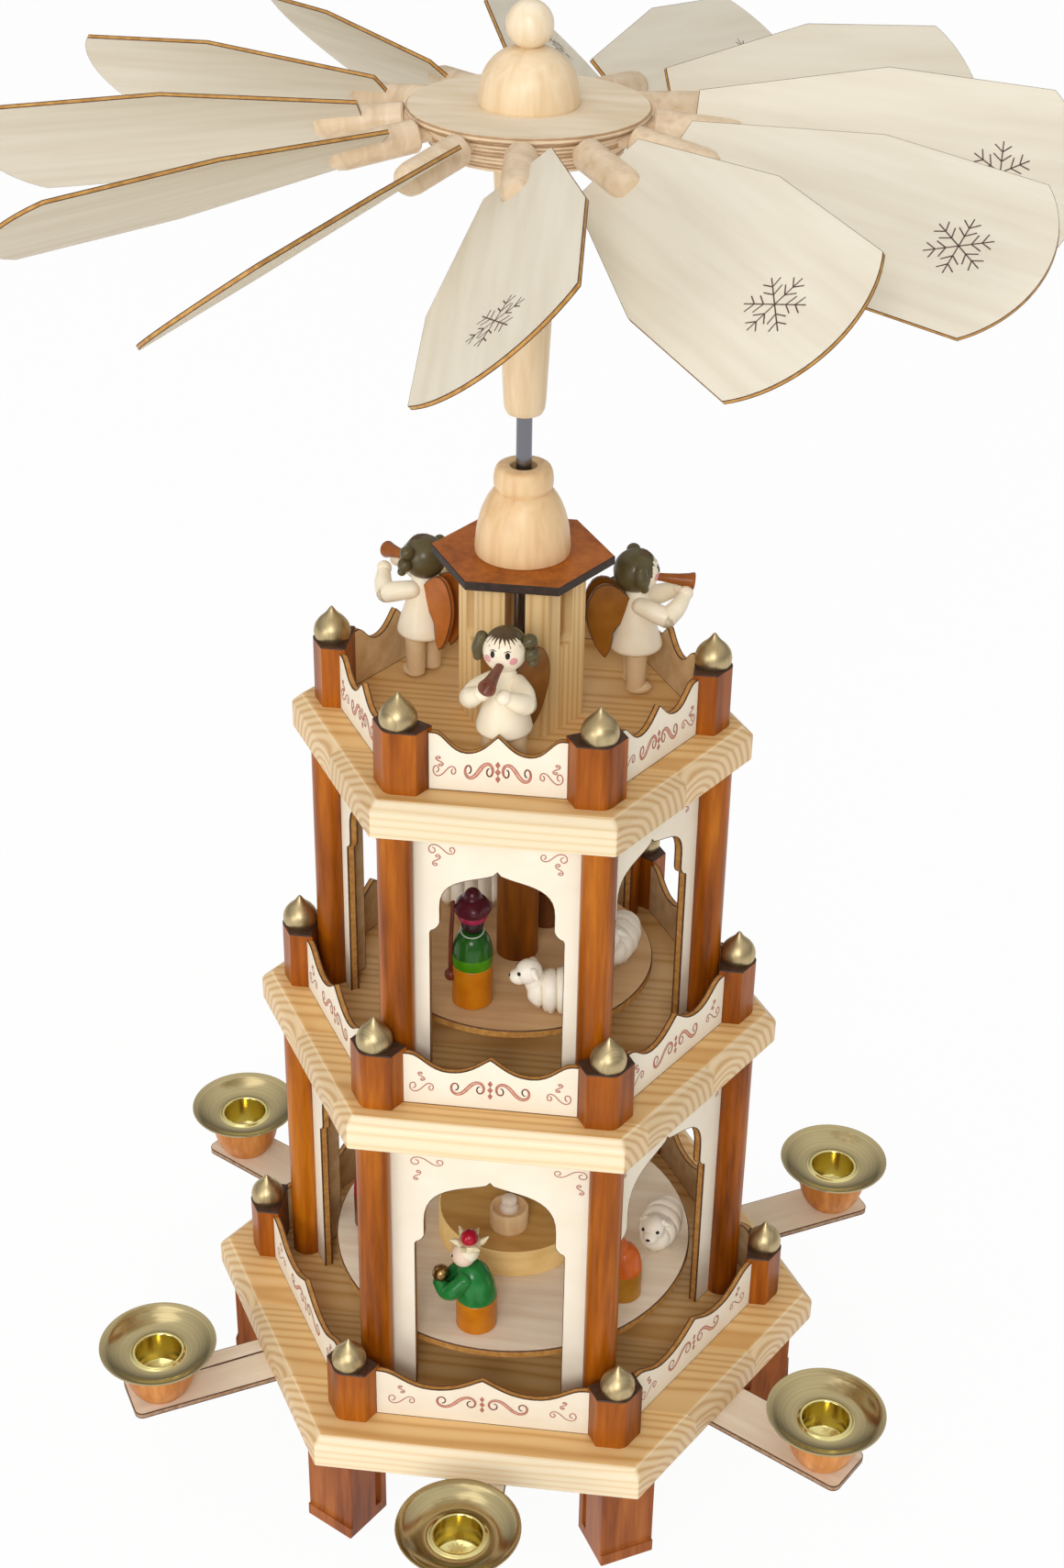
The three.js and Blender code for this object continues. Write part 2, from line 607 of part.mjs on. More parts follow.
// Tower: a hexagonal block of pine, slotted to its middle from the top in each side.
function tower() {
  const radius = TOWER_DIAMETER / 2;
  const half = TOWER_SLOT_WIDTH / 2;
  const tools = [rod(TOWER_BORE / 2, -1, TOWER_HEIGHT + 1, 16)];
  for (let i = 0; i < SIDES; i += 1) {
    const slot = new THREE.Shape();
    slot.moveTo(-half, TOWER_HEIGHT + 1);
    slot.lineTo(-half, TOWER_SLOT_SILL + half);
    slot.absarc(0, TOWER_SLOT_SILL + half, half, Math.PI, 2 * Math.PI, false);
    slot.lineTo(half, TOWER_HEIGHT + 1);
    tools.push(upright(plate(slot, radius, 6), 1).rotateZ(radians(60 * i + 30)));
  }
  return cut(hexagonal([[0, 0], [radius, 0], [radius, TOWER_HEIGHT], [0, TOWER_HEIGHT]]), tools);
}

add('tower', tower(), PINE).position.z = upperTop;

const roofRadius = ROOF_DIAMETER / 2;
const roofSlab = hexagonal([[0, 0], [roofRadius, 0], [roofRadius, ROOF_THICKNESS], [0, ROOF_THICKNESS]]);
const roofHole = rod(COLLAR_BORE / 2, -1, ROOF_THICKNESS + 1, 16);
add('tower_roof', cut(roofSlab, [roofHole]), STAIN).position.z = towerTop;

// Bell: turned in one with the collar through which the shaft comes out.
function bell() {
  const bore = COLLAR_BORE / 2;
  return ring([
    [bore, 0],
    ...scaled(BELL_PROFILE, BELL_DIAMETER / 2, BELL_HEIGHT, 0),
    ...scaled(COLLAR_PROFILE, COLLAR_DIAMETER / 2, COLLAR_HEIGHT, BELL_HEIGHT),
    [bore, BELL_HEIGHT + COLLAR_HEIGHT],
  ], 16);
}

add('bell', geometryOf(solidOf(bell())), TURNED).position.z = roofTop;

// The rotor: everything that the shaft carries round.
const shaftFoot = lowerTop + BEARING_FLOOR + SEAT_GAP;
const shaftRadius = SHAFT_DIAMETER / 2;
const shaft = turned([
  [0, shaftFoot],
  [shaftRadius, shaftFoot + SHAFT_POINT],
  [shaftRadius, hubTop - SEAT_GAP],
  [0, hubTop - SEAT_GAP],
], 16);
add('shaft', geometryOf(solidOf(shaft)), STEEL);

function bored(radius, from, to, segments) {
  const profile = [[boreRadius, from], [radius, from], [radius, to], [boreRadius, to]];
  return geometryOf(solidOf(ring(profile, segments)));
}

const lowerPanelInside = lowerColumnCircle * FLAT - PANEL_SETBACK - PANEL_THICKNESS;
const upperPanelInside = UPPER_COLUMN_CIRCLE * FLAT - PANEL_SETBACK - PANEL_THICKNESS;
const lowerArchHalf = (lowerColumnCircle - COLUMN_DIAMETER) / 2 - LOWER_ARCH_LEG;
const upperArchHalf = (UPPER_COLUMN_CIRCLE - COLUMN_DIAMETER) / 2 - UPPER_ARCH_LEG;
const lowerTurntableRadius = Math.hypot(lowerArchHalf, lowerPanelInside) - LOWER_TURNTABLE_CLEARANCE;
const upperTurntableRadius = Math.hypot(upperArchHalf, upperPanelInside) - UPPER_TURNTABLE_CLEARANCE;
const lowerTurntableFoot = lowerTop + LOWER_TURNTABLE_LIFT;
const upperTurntableFoot = middleTop + UPPER_TURNTABLE_LIFT;
const lowerStage = lowerTurntableFoot + TURNTABLE_THICKNESS;
const upperStage = upperTurntableFoot + TURNTABLE_THICKNESS;
add('lower_turntable', bored(lowerTurntableRadius, lowerTurntableFoot, lowerStage, 32), BIRCH);
add('upper_turntable', bored(upperTurntableRadius, upperTurntableFoot, upperStage, 32), BIRCH);

const pillarTop = upperTop - BOARD_THICKNESS - PILLAR_TOP_GAP;
add('upper_pillar', bored(PILLAR_DIAMETER / 2, upperStage, pillarTop, 16), STAIN);

// Plinth: a thick turned disc on the lower turntable, with a cup-shaped crib and a baby in it.
function plinth() {
  const top = lowerStage + PLINTH_HEIGHT;
  const r = PLINTH_DIAMETER / 2;
  const disc = ring([
    [boreRadius, lowerStage],
    [r, lowerStage],
    [r, top - PLINTH_CHAMFER],
    [r - PLINTH_CHAMFER, top],
    [boreRadius, top],
  ], 24);
  const crib = CRIB_DIAMETER / 2;
  const cribFloor = top + CRIB_WALL;
  const cup = turned([
    [0, top],
    ...scaled(CRIB_PROFILE, crib, CRIB_HEIGHT, top),
    [crib - CRIB_WALL, top + CRIB_HEIGHT],
    [crib - CRIB_WALL, cribFloor],
    [0, cribFloor],
  ], 16);
  const baby = turned([
    [0, cribFloor],
    ...scaled(BABY_PROFILE, BABY_DIAMETER / 2, BABY_HEIGHT, cribFloor),
  ], 10);
  return join([disc, ...[cup, baby].map((piece) => piece.translate(0, -CRIB_OFFSET, 0))]);
}

add('crib_plinth', plinth(), TURNED);

// Hub with its turned sleeve, and cap: the fan's head on the top of the shaft.
function spigotHole(azimuth) {
  const length = SPIGOT_LENGTH + 2 * SEAT_GAP + pegStart;
  return rod(SPIGOT_DIAMETER / 2 + SEAT_GAP, pegStart - SPIGOT_LENGTH - SEAT_GAP, length, 8)
    .rotateY(Math.PI / 2)
    .rotateY(radians(VANE_DROOP))
    .rotateZ(radians(azimuth))
    .translate(0, 0, vaneAxisHeight);
}

function vaneAzimuth(i) {
  return FIRST_VANE_AZIMUTH + (360 / VANE_COUNT) * i;
}

function hub() {
  const profile = [
    [boreRadius, sleeveFoot],
    ...scaled(SLEEVE_FOOT_PROFILE, SLEEVE_FOOT_DIAMETER / 2, 1, sleeveFoot),
    [SLEEVE_TOP_DIAMETER / 2, hubFoot],
  ];
  for (let layer = 0; layer < HUB_LAYERS; layer += 1) {
    const r = HUB_FOOT_DIAMETER / 2 + HUB_LAYER_STEP * layer;
    profile.push([r, hubFoot + HUB_LAYER_THICKNESS * layer]);
    profile.push([r, hubFoot + HUB_LAYER_THICKNESS * (layer + 1)]);
  }
  profile.push([HUB_DISC_DIAMETER / 2, hubTop - HUB_DISC_THICKNESS]);
  profile.push([HUB_DISC_DIAMETER / 2, hubTop]);
  profile.push([boreRadius, hubTop]);
  const holes = Array.from({ length: VANE_COUNT }, (_, i) => spigotHole(vaneAzimuth(i)));
  return cut(ring(profile, 24), holes);
}

add('fan_hub', hub(), TURNED);

function cap() {
  const b = CAP_BALL_DIAMETER / 2;
  const neck = b * CAP_NECK_SHARE;
  const profile = [[0, 0], ...scaled(CAP_PROFILE, CAP_DIAMETER / 2, CAP_HEIGHT, 0), [neck, CAP_HEIGHT]];
  const centre = CAP_HEIGHT + Math.sqrt(b * b - neck * neck);
  const first = Math.asin(neck / b);
  for (let i = 1; i <= CAP_BALL_STEPS; i += 1) {
    const angle = first + ((Math.PI - first) * i) / CAP_BALL_STEPS;
    profile.push([i < CAP_BALL_STEPS ? b * Math.sin(angle) : 0, centre - b * Math.cos(angle)]);
  }
  return turned(profile, 16);
}

add('fan_cap', geometryOf(solidOf(cap())), TURNED).position.z = hubTop;

// Vanes: plywood blades glued into slotted turned pegs, whose spigots turn stiffly in the hub.
function vaneOutline() {
  const half = VANE_WIDTH / 2;
  const root = VANE_ROOT_WIDTH / 2;
  const bulge = VANE_TIP - VANE_TIP_CORNER;
  const arc = (half * half + bulge * bulge) / (2 * bulge);
  const spread = Math.asin(half / arc);
  const outline = new THREE.Shape();
  outline.moveTo(VANE_ROOT, -root);
  outline.lineTo(VANE_SHOULDER, -half);
  outline.lineTo(VANE_TIP_CORNER, -half);
  outline.absarc(VANE_TIP - arc, 0, arc, -spread, spread, false);
  outline.lineTo(VANE_SHOULDER, half);
  outline.lineTo(VANE_ROOT, root);
  return outline;
}

function vane() {
  const peg = PEG_DIAMETER / 2;
  const spigot = SPIGOT_DIAMETER / 2;
  const end = pegStart + PEG_LENGTH;
  const shank = turned([
    [0, pegStart - SPIGOT_LENGTH],
    [spigot, pegStart - SPIGOT_LENGTH],
    [spigot, pegStart],
    [peg, pegStart],
    [peg, end - peg],
    [peg * 0.8, end - peg * 0.4],
    [0, end],
  ], 8).rotateY(Math.PI / 2);
  const blade = plate(vaneOutline(), VANE_THICKNESS, 8).translate(0, 0, -VANE_THICKNESS / 2);
  return join([shank, blade]);
}

for (let i = 0; i < VANE_COUNT; i += 1) {
  const blade = add(`vane_${String(i + 1).padStart(2, '0')}`, vane(), BIRCH);
  blade.rotation.order = 'ZYX';
  blade.rotation.set(radians(VANE_SET[i]), radians(VANE_DROOP), radians(vaneAzimuth(i)));
  blade.position.z = vaneAxisHeight;
}

// Angels: turned and carved, two legs, a flared dress, sleeves, hair buns, wings and a trumpet.
function wing(sweep) {
  const outline = new THREE.Shape();
  const across = (share) => WING_WIDTH * share;
  const up = (share) => WING_FOOT + WING_HEIGHT * share;
  outline.moveTo(across(WING_START[0]), up(WING_START[1]));
  WING_CURVES.forEach(([pullX, pullY, x, y]) => {
    outline.quadraticCurveTo(across(pullX), up(pullY), across(x), up(y));
  });
  return plate(outline, WING_THICKNESS, 2)
    .rotateX(Math.PI / 2)
    .translate(0, WING_THICKNESS / 2, 0)
    .rotateZ(radians(sweep))
    .translate(WING_SPREAD, WING_SETBACK, 0);
}

// A mirror image across x = 0, its faces turned so that they still point out.
function mirror(geometry) {
  const image = geometry.clone().scale(-1, 1, 1);
  const place = image.attributes.position;
  for (let i = 0; i < place.count; i += 3) {
    const [x, y, z] = [place.getX(i), place.getY(i), place.getZ(i)];
    place.setXYZ(i, place.getX(i + 1), place.getY(i + 1), place.getZ(i + 1));
    place.setXYZ(i + 1, x, y, z);
  }
  return image;
}

function angelArm(side, hand) {
  const shoulder = [side * ANGEL_SHOULDER[0], ANGEL_SHOULDER[1], ANGEL_SHOULDER[2]];
  const elbow = [side * ANGEL_ELBOW[0], ANGEL_ELBOW[1], ANGEL_ELBOW[2]];
  return [
    strut(shoulder, elbow, ANGEL_SLEEVE_RADIUS, ANGEL_SLEEVE_RADIUS, 6),
    strut(elbow, hand, ANGEL_SLEEVE_RADIUS, ANGEL_HAND_RADIUS, 6),
  ];
}

function angel(sweep) {
  const [hairX, hairY, hairZ] = ANGEL_HAIR_SHIFT;
  const hairHeight = ANGEL_FACE_HEIGHT + hairZ;
  const legs = [-ANGEL_LEG_SPREAD, ANGEL_LEG_SPREAD].map((x) => (
    strut([x, 0, 0], [x, 0, ANGEL_HEM + ANGEL_THIGH_RISE], ANGEL_ANKLE_RADIUS, ANGEL_THIGH_RADIUS, 6)
  ));
  const buns = [-ANGEL_BUN_REACH, ANGEL_BUN_REACH].map((x) => (
    ball(ANGEL_BUN_RADIUS, [x, 0, hairHeight], [1, 1, 1], 6)
  ));
  return join([
    ...legs,
    turned(ANGEL_DRESS, 9).translate(0, 0, ANGEL_HEM),
    ball(ANGEL_FACE_RADIUS, [0, 0, ANGEL_FACE_HEIGHT], [1, 1, 1], 8),
    ball(ANGEL_HAIR_RADIUS, [hairX, hairY, hairHeight], [1, 0.95, 0.9], 8),
    ...buns,
    ...angelArm(1, ANGEL_HANDS[0]),
    ...angelArm(-1, ANGEL_HANDS[1]),
    strut(TRUMPET_MOUTH, TRUMPET_END, TRUMPET_MOUTH_RADIUS, TRUMPET_BELL_RADIUS, 7),
    wing(sweep),
    mirror(wing(sweep)),
  ]);
}

for (let i = 0; i < 3; i += 1) {
  const side = new THREE.Group();
  side.rotation.z = radians(120 * i);
  pyramid.add(side);
  const figure = add(`angel_${i + 1}`, angel(WING_SWEEP_ANGLES[i]), IVORY, side);
  figure.position.set(0, -ANGEL_CIRCLE, upperTop);
  figure.rotation.z = radians(ANGEL_TURN_ANGLES[i]);
}

// Robed figures: a turned skirt and coat, a head that may lean, a hat or crown, and carved arms.
function robed({ girth, shoulder, headLean, hatLean, hat }, extras) {
  const r = girth / 2;
  const coat = turned(COAT_PROFILE.map(([across, up]) => [r * across, shoulder * up]), 12);
  const headHeight = shoulder + KING_FACE_RADIUS * HEAD_SEAT_SHARE;
  const neckFoot = [headLean * NECK_LEAN_SHARE, 0, shoulder * NECK_START_SHARE];
  const neckTop = [headLean, 0, shoulder];
  return join([
    coat,
    strut(neckFoot, neckTop, r * NECK_WIDTH_SHARE, KING_FACE_RADIUS * NECK_WIDTH_SHARE, 8),
    ball(KING_FACE_RADIUS, [headLean, 0, headHeight], [1, 1, 1.1], 8),
    turned(hat, 10).translate(hatLean, 0, shoulder),
    ...extras,
  ]);
}

function staffAndGift() {
  const x = -UPPER_KING.girth / 2;
  const hand = [x, STAFF_AT, GIFT_HEIGHT];
  const top = [x + STAFF_LEAN, STAFF_AT, STAFF_HEIGHT];
  return [strut(hand, top, STAFF_RADIUS, STAFF_RADIUS, 6), ball(GIFT_RADIUS, hand)];
}

function offering() {
  const arms = [-1, 1].flatMap((side) => {
    const elbow = [OFFERING_ELBOW[0], side * OFFERING_ELBOW[1], OFFERING_ELBOW[2]];
    const shoulder = [OFFERING_SHOULDER[0], side * OFFERING_SHOULDER[1], OFFERING_SHOULDER[2]];
    return [
      strut(shoulder, elbow, UPPER_ARM_RADIUS, FOREARM_RADIUS, 6),
      strut(elbow, OFFERING, FOREARM_RADIUS, WRIST_RADIUS, 6),
    ];
  });
  return [...arms, ball(OFFERING_RADIUS, OFFERING)];
}

// Sheep: ring-turned, so the body shows ribs across its length, with a flat foot and a head.
function sheep() {
  const r = SHEEP_HEIGHT * SHEEP_BARREL_SHARE;
  const half = SHEEP_LENGTH / 2;
  const profile = [[0, -half]];
  for (let i = 0; i <= 2 * SHEEP_RIBS; i += 1) {
    const along = -half + (half * i) / SHEEP_RIBS;
    const swell = Math.sqrt(1 - (along / (half * SHEEP_SWELL)) ** 2);
    profile.push([r * swell * (i % 2 ? 1 : SHEEP_GROOVE), along]);
  }
  profile.push([0, half]);
  const barrel = turned(profile, 10).rotateY(Math.PI / 2).translate(0, 0, r);
  const footLength = half * SHEEP_FOOT_LENGTH_SHARE;
  const footWidth = r * SHEEP_FOOT_WIDTH_SHARE;
  const foot = block(-footLength, footLength, -footWidth, footWidth, 0, r);
  const headRadius = SHEEP_HEIGHT * SHEEP_HEAD_SHARE;
  const headCentre = [-half * SHEEP_HEAD_REACH_SHARE, 0, SHEEP_HEIGHT - headRadius];
  const head = ball(headRadius, headCentre, [1.15, 1, 0.95], 8);
  const below = block(-half * 2, half * 2, -r * 2, r * 2, -r, 0);
  return cut(join([barrel, foot, head]), [below]);
}

function place(name, geometry, finish, level, [azimuth, circle, turn]) {
  const spot = new THREE.Group();
  spot.rotation.z = radians(azimuth);
  pyramid.add(spot);
  const figure = add(name, geometry, finish, spot);
  figure.position.set(circle, 0, level);
  figure.rotation.z = radians(turn - azimuth);
}

place('lower_king', robed(LOWER_KING, offering()), ENAMEL, lowerStage, LOWER_KING_SPOT);
place('shepherd', robed(SHEPHERD, []), ORANGE, lowerStage, SHEPHERD_SPOT);
place('red_king', robed(RED_KING, []), CRIMSON, lowerStage, RED_KING_SPOT);
place('lower_sheep', sheep(), IVORY, lowerStage, LOWER_SHEEP_SPOT);
place('upper_king', robed(UPPER_KING, staffAndGift()), ENAMEL, upperStage, UPPER_KING_SPOT);
place('upper_guest', robed(UPPER_GUEST, []), CRIMSON, upperStage, UPPER_GUEST_SPOT);
UPPER_SHEEP_SPOTS.forEach((spot, i) => place(`upper_sheep_${i + 1}`, sheep(), IVORY, upperStage, spot));

export default pyramid;
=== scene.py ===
import bpy
import math
from mathutils import Matrix, Vector


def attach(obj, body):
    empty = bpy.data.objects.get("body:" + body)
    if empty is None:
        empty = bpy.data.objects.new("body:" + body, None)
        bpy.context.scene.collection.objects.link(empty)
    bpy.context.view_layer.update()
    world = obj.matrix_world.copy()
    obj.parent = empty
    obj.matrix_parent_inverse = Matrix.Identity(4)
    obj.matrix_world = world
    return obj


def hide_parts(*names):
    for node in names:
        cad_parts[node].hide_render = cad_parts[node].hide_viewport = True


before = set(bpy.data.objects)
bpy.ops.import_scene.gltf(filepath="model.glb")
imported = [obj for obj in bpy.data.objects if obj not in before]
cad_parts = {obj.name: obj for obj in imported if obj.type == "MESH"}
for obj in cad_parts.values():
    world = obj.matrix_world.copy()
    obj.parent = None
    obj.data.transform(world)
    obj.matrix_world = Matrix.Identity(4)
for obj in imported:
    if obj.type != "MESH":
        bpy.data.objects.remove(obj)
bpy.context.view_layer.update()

# The three hexagonal boards, 12.3 mm thick. Each is edge-glued from pine staves whose grain runs
# from left to right, planed, chamfered round the top edge and varnished in satin.
MM = 0.001
STAVE_WIDTH = 34.0
RING_SPACING = 2.9
BOARD_ROUNDING = 0.8
BOARD_LEVELS = {"lower_board": 48.0, "middle_board": 176.4, "upper_board": 290.6}
PINE_TOP = [(0.0, "#E4BC80"), (0.55, "#E0B678"), (0.85, "#D8AA6A"), (1.0, "#CE9C5A")]
# the long sides' paler cream is partly the wood's own tone and partly painted light from the front
PINE_FRONT_WITH_PAINTED_LIGHT = [(0.0, "#F2E0BE"), (0.55, "#F0DDB9"), (0.85, "#EED8B0"), (1.0, "#E9CFA2")]
PINE_END = [(0.0, "#E2C69A"), (0.45, "#DDBE90"), (0.8, "#D3AF7E"), (1.0, "#CAA26E")]


def linear(code):
    channels = [int(code[i:i + 2], 16) / 255 for i in (1, 3, 5)]
    return [c / 12.92 if c <= 0.04045 else ((c + 0.055) / 1.055) ** 2.4 for c in channels] + [1.0]


def new_material(name, surface):
    material = bpy.data.materials.new(name)
    material.use_nodes = True
    shader = material.node_tree.nodes["Principled BSDF"]
    for socket, value in surface.items():
        shader.inputs[socket].default_value = value
    return material, shader


def add_node(owner, kind, settings=None, links=None):
    """Adds a shader node of that kind, sets and links its inputs, and gives its outputs."""
    node = owner.node_tree.nodes.new("ShaderNode" + kind)
    for key, value in (settings or {}).items():
        if key == "stops":
            elements = node.color_ramp.elements
            while len(elements) < len(value):
                elements.new(0.5)
            for element, (position, code) in zip(elements, value):
                element.position = position
                element.color = linear(code)
        elif isinstance(key, int) or key in node.inputs:
            node.inputs[key].default_value = value
        else:
            setattr(node, key, value)
    for key, source in (links or {}).items():
        owner.node_tree.links.new(source, node.inputs[key])
    return node.outputs


def feed(owner, source, node, socket):
    owner.node_tree.links.new(source, node.inputs[socket])


def pine(name, level, stave, turn, top, front, end):
    # varnished softwood: pale early wood, darker rings cut at all slants, and a soft sheen on top
    material, shader = new_material(name, {"Roughness": 0.5, "Coat Weight": 0.1, "Coat Roughness": 0.35})
    place = add_node(material, "TexCoord")["Object"]
    turned_place = add_node(material, "Mapping", {"Location": (0, 0, -level * MM), "Rotation": turn},
                            {"Vector": place})[0]
    parts = add_node(material, "SeparateXYZ", {}, {0: turned_place})
    count = add_node(material, "Math", {"operation": "DIVIDE", 1: stave * MM}, {0: parts[1]})[0]
    index = add_node(material, "Math", {"operation": "FLOOR"}, {0: count})[0]
    dice = add_node(material, "TexWhiteNoise", {"noise_dimensions": "1D"}, {"W": index})["Color"]
    chance = add_node(material, "SeparateColor", {}, {0: dice})
    within = add_node(material, "Math", {"operation": "FRACT"}, {0: count})[0]
    across = add_node(material, "Math", {"operation": "SUBTRACT"}, {0: within, 1: chance[0]})[0]
    y = add_node(material, "Math", {"operation": "MULTIPLY", 1: stave * MM}, {0: across})[0]
    deep = add_node(material, "Math", {"operation": "MULTIPLY_ADD", 1: 0.03, 2: 0.006}, {0: chance[1]})[0]
    z = add_node(material, "Math", {"operation": "ADD"}, {0: parts[2], 1: deep})[0]
    flat = add_node(material, "CombineXYZ", {}, {1: y, 2: z})[0]
    radius = add_node(material, "VectorMath", {"operation": "LENGTH"}, {0: flat})["Value"]
    long = add_node(material, "Mapping", {"Scale": (6, 34, 34)}, {"Vector": turned_place})[0]
    wander = add_node(material, "TexNoise", {"Scale": 1.0, "Detail": 2.0}, {"Vector": long})[0]
    bent = add_node(material, "Math", {"operation": "MULTIPLY_ADD", 1: 0.006}, {0: wander, 2: radius})[0]
    turns = add_node(material, "Math", {"operation": "MULTIPLY", 1: 2 * math.pi / (RING_SPACING * MM)},
                     {0: bent})[0]
    wave = add_node(material, "Math", {"operation": "SINE"}, {0: turns})[0]
    share = add_node(material, "Math", {"operation": "MULTIPLY_ADD", 1: 0.5, 2: 0.5}, {0: wave})[0]
    colours = [add_node(material, "ValToRGB", {"stops": stops}, {0: share})[0]
               for stops in (top, front, end)]
    # the planed top, the long sides and the slanted ends, where the grain is cut across, differ; the long
    # sides' paler cream is partly painted light from the front
    facing = add_node(material, "SeparateXYZ", {}, {0: add_node(material, "TexCoord")[1]})
    sideways = add_node(material, "Math", {"operation": "ABSOLUTE"}, {0: facing[0]})[0]
    is_end = add_node(material, "MapRange", {1: 0.4, 2: 0.6}, {0: sideways})[0]
    is_top = add_node(material, "MapRange", {1: 0.8, 2: 0.95}, {0: facing[2]})[0]
    sides = add_node(material, "Mix", {"data_type": "RGBA"}, {0: is_end, 6: colours[1], 7: colours[2]})[2]
    rings = add_node(material, "Mix", {"data_type": "RGBA"}, {0: is_top, 6: sides, 7: colours[0]})[2]
    # no two staves have quite the same tone
    tone = add_node(material, "MapRange", {3: 0.93, 4: 1.04}, {0: chance[2]})[0]
    toned = add_node(material, "VectorMath", {"operation": "SCALE"}, {0: rings, "Scale": tone})[0]
    feed(material, toned, shader, "Base Color")
    fine = add_node(material, "Mapping", {"Scale": (60, 1500, 1500)}, {"Vector": turned_place})[0]
    fibre = add_node(material, "TexNoise", {"Scale": 1.0, "Detail": 2.0}, {"Vector": fine})[0]
    bump = add_node(material, "Bump", {"Strength": 0.12, "Distance": 0.0002}, {"Height": fibre})[0]
    feed(material, bump, shader, "Normal")
    return material


def finish_node(node, material, rounding):
    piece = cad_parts[node]
    piece.data.materials.clear()
    piece.data.materials.append(material)
    weld = piece.modifiers.new("weld", "WELD")
    weld.merge_threshold = 0.01 * MM
    bevel = piece.modifiers.new("rounding", "BEVEL")
    bevel.width = rounding * MM
    bevel.segments = 2
    bevel.limit_method = "ANGLE"
    bevel.angle_limit = math.radians(25)


for node, level in BOARD_LEVELS.items():
    board_pine = pine(node + "_pine", level, STAVE_WIDTH, (0, 0, 0), PINE_TOP, PINE_FRONT_WITH_PAINTED_LIGHT, PINE_END)
    finish_node(node, board_pine, BOARD_ROUNDING)

# Six square legs under the corners, 35.7 mm high, each with a plinth step outside and a groove in
# each flank. Beech, planed, stained red-brown and varnished.
STAIN_STOPS = [(0.0, "#562802"), (0.35, "#884405"), (0.65, "#A05408"), (1.0, "#BC6E10")]
LEG_ROUNDING = 0.4
LEG_STOPS = [(0.0, "#5C2A0C"), (0.35, "#874516"), (0.65, "#9C5520"), (1.0, "#B0682C")]


def stained_beech(name, stops, roughness):
    material, shader = new_material(name, {"Roughness": roughness, "Specular IOR Level": 0.22})
    place = add_node(material, "TexCoord")["Object"]
    # stain sinks deeper into the pores, so dark flecks up to 3 mm across and 38 mm long run upright
    long = add_node(material, "Mapping", {"Scale": (330, 330, 26)}, {"Vector": place})[0]
    streak = add_node(material, "TexNoise", {"Scale": 1.0, "Detail": 4.0, "Roughness": 0.6},
                      {"Vector": long})[0]
    broad = add_node(material, "Mapping", {"Scale": (70, 70, 14)}, {"Vector": place})[0]
    cloud = add_node(material, "TexNoise", {"Scale": 1.0, "Detail": 1.0}, {"Vector": broad})[0]
    half = add_node(material, "Math", {"operation": "MULTIPLY", 1: 0.5}, {0: cloud})[0]
    both = add_node(material, "Math", {"operation": "MULTIPLY_ADD", 1: 0.5}, {0: streak, 2: half})[0]
    wide = add_node(material, "MapRange", {1: 0.32, 2: 0.68}, {0: both})[0]
    colour = add_node(material, "ValToRGB", {"stops": stops}, {0: wide})[0]
    feed(material, colour, shader, "Base Color")
    bump = add_node(material, "Bump", {"Strength": 0.15, "Distance": 0.0002}, {"Height": streak})[0]
    feed(material, bump, shader, "Normal")
    return material


leg_stain = stained_beech("leg_stain", LEG_STOPS, 0.38)
for i in range(6):
    finish_node("leg_%d" % (i + 1), leg_stain, LEG_ROUNDING)

# Six candle arms: strips of 2.2 mm plywood glued under the lowest board, 21 mm wide with rounded
# outer corners, left pale, their laser-cut edges scorched brown.
ARM_WIDTH = 21.0
ARM_THICKNESS = 2.2
ARM_TOP = 35.7
ARM_START = 60.8
ARM_END = 150.3
SCORCH_RIM = 0.25


def plywood_face(name, pale, dark, along):
    material, shader = new_material(name, {"Roughness": 0.8, "Specular IOR Level": 0.0})
    place = add_node(material, "TexCoord")["Object"]
    # bare veneer is dull, with faint lines that run 33 to 63 mm along the grain and 4 to 8 mm across it
    long = add_node(material, "Mapping", {"Scale": along}, {"Vector": place})[0]
    streak = add_node(material, "TexNoise", {"Scale": 1.0, "Detail": 4.0}, {"Vector": long})[0]
    colour = add_node(material, "ValToRGB", {"stops": [(0.3, dark), (0.62, pale)]}, {0: streak})[0]
    feed(material, colour, shader, "Base Color")
    return material


def mottled(name, stops, scale, surface):
    # a thin coat or a scorched edge: two close tones in soft clouds, with hardly any relief
    material, shader = new_material(name, surface)
    place = add_node(material, "TexCoord")["Object"]
    cloud = add_node(material, "TexNoise", {"Scale": scale, "Detail": 3.0}, {"Vector": place})[0]
    colour = add_node(material, "ValToRGB", {"stops": stops}, {0: cloud})[0]
    feed(material, colour, shader, "Base Color")
    bump = add_node(material, "Bump", {"Strength": 0.1, "Distance": 0.0001}, {"Height": cloud})[0]
    feed(material, bump, shader, "Normal")
    return material


def make(name, shape, materials, body, slot, nodes=(), sharp=32, matrix=None):
    vertices, faces, kinds = shape
    mesh = bpy.data.meshes.new(name)
    mesh.from_pydata([[c * MM for c in v] for v in vertices], [], faces)
    for material in materials:
        mesh.materials.append(material)
    for polygon, kind in zip(mesh.polygons, kinds):
        polygon.material_index = kind
    mesh.shade_smooth()
    mesh.set_sharp_from_angle(angle=math.radians(sharp))
    piece = bpy.data.objects.new(name, mesh)
    bpy.context.scene.collection.objects.link(piece)
    if matrix is not None:
        piece.matrix_world = matrix
    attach(piece, body)
    if nodes:
        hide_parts(*nodes)
    return piece


def inset(outline, depth):
    """The outline, counter-clockwise, moved inwards by depth."""
    inner = []
    for i, point in enumerate(outline):
        before = Vector(point) - Vector(outline[i - 1])
        after = Vector(outline[(i + 1) % len(outline)]) - Vector(point)
        a = Vector((-before.y, before.x)).normalized()
        b = Vector((-after.y, after.x)).normalized()
        way = (a + b) / max(0.35, 1 + a.dot(b))
        inner.append(tuple(Vector(point) + way * depth))
    return inner


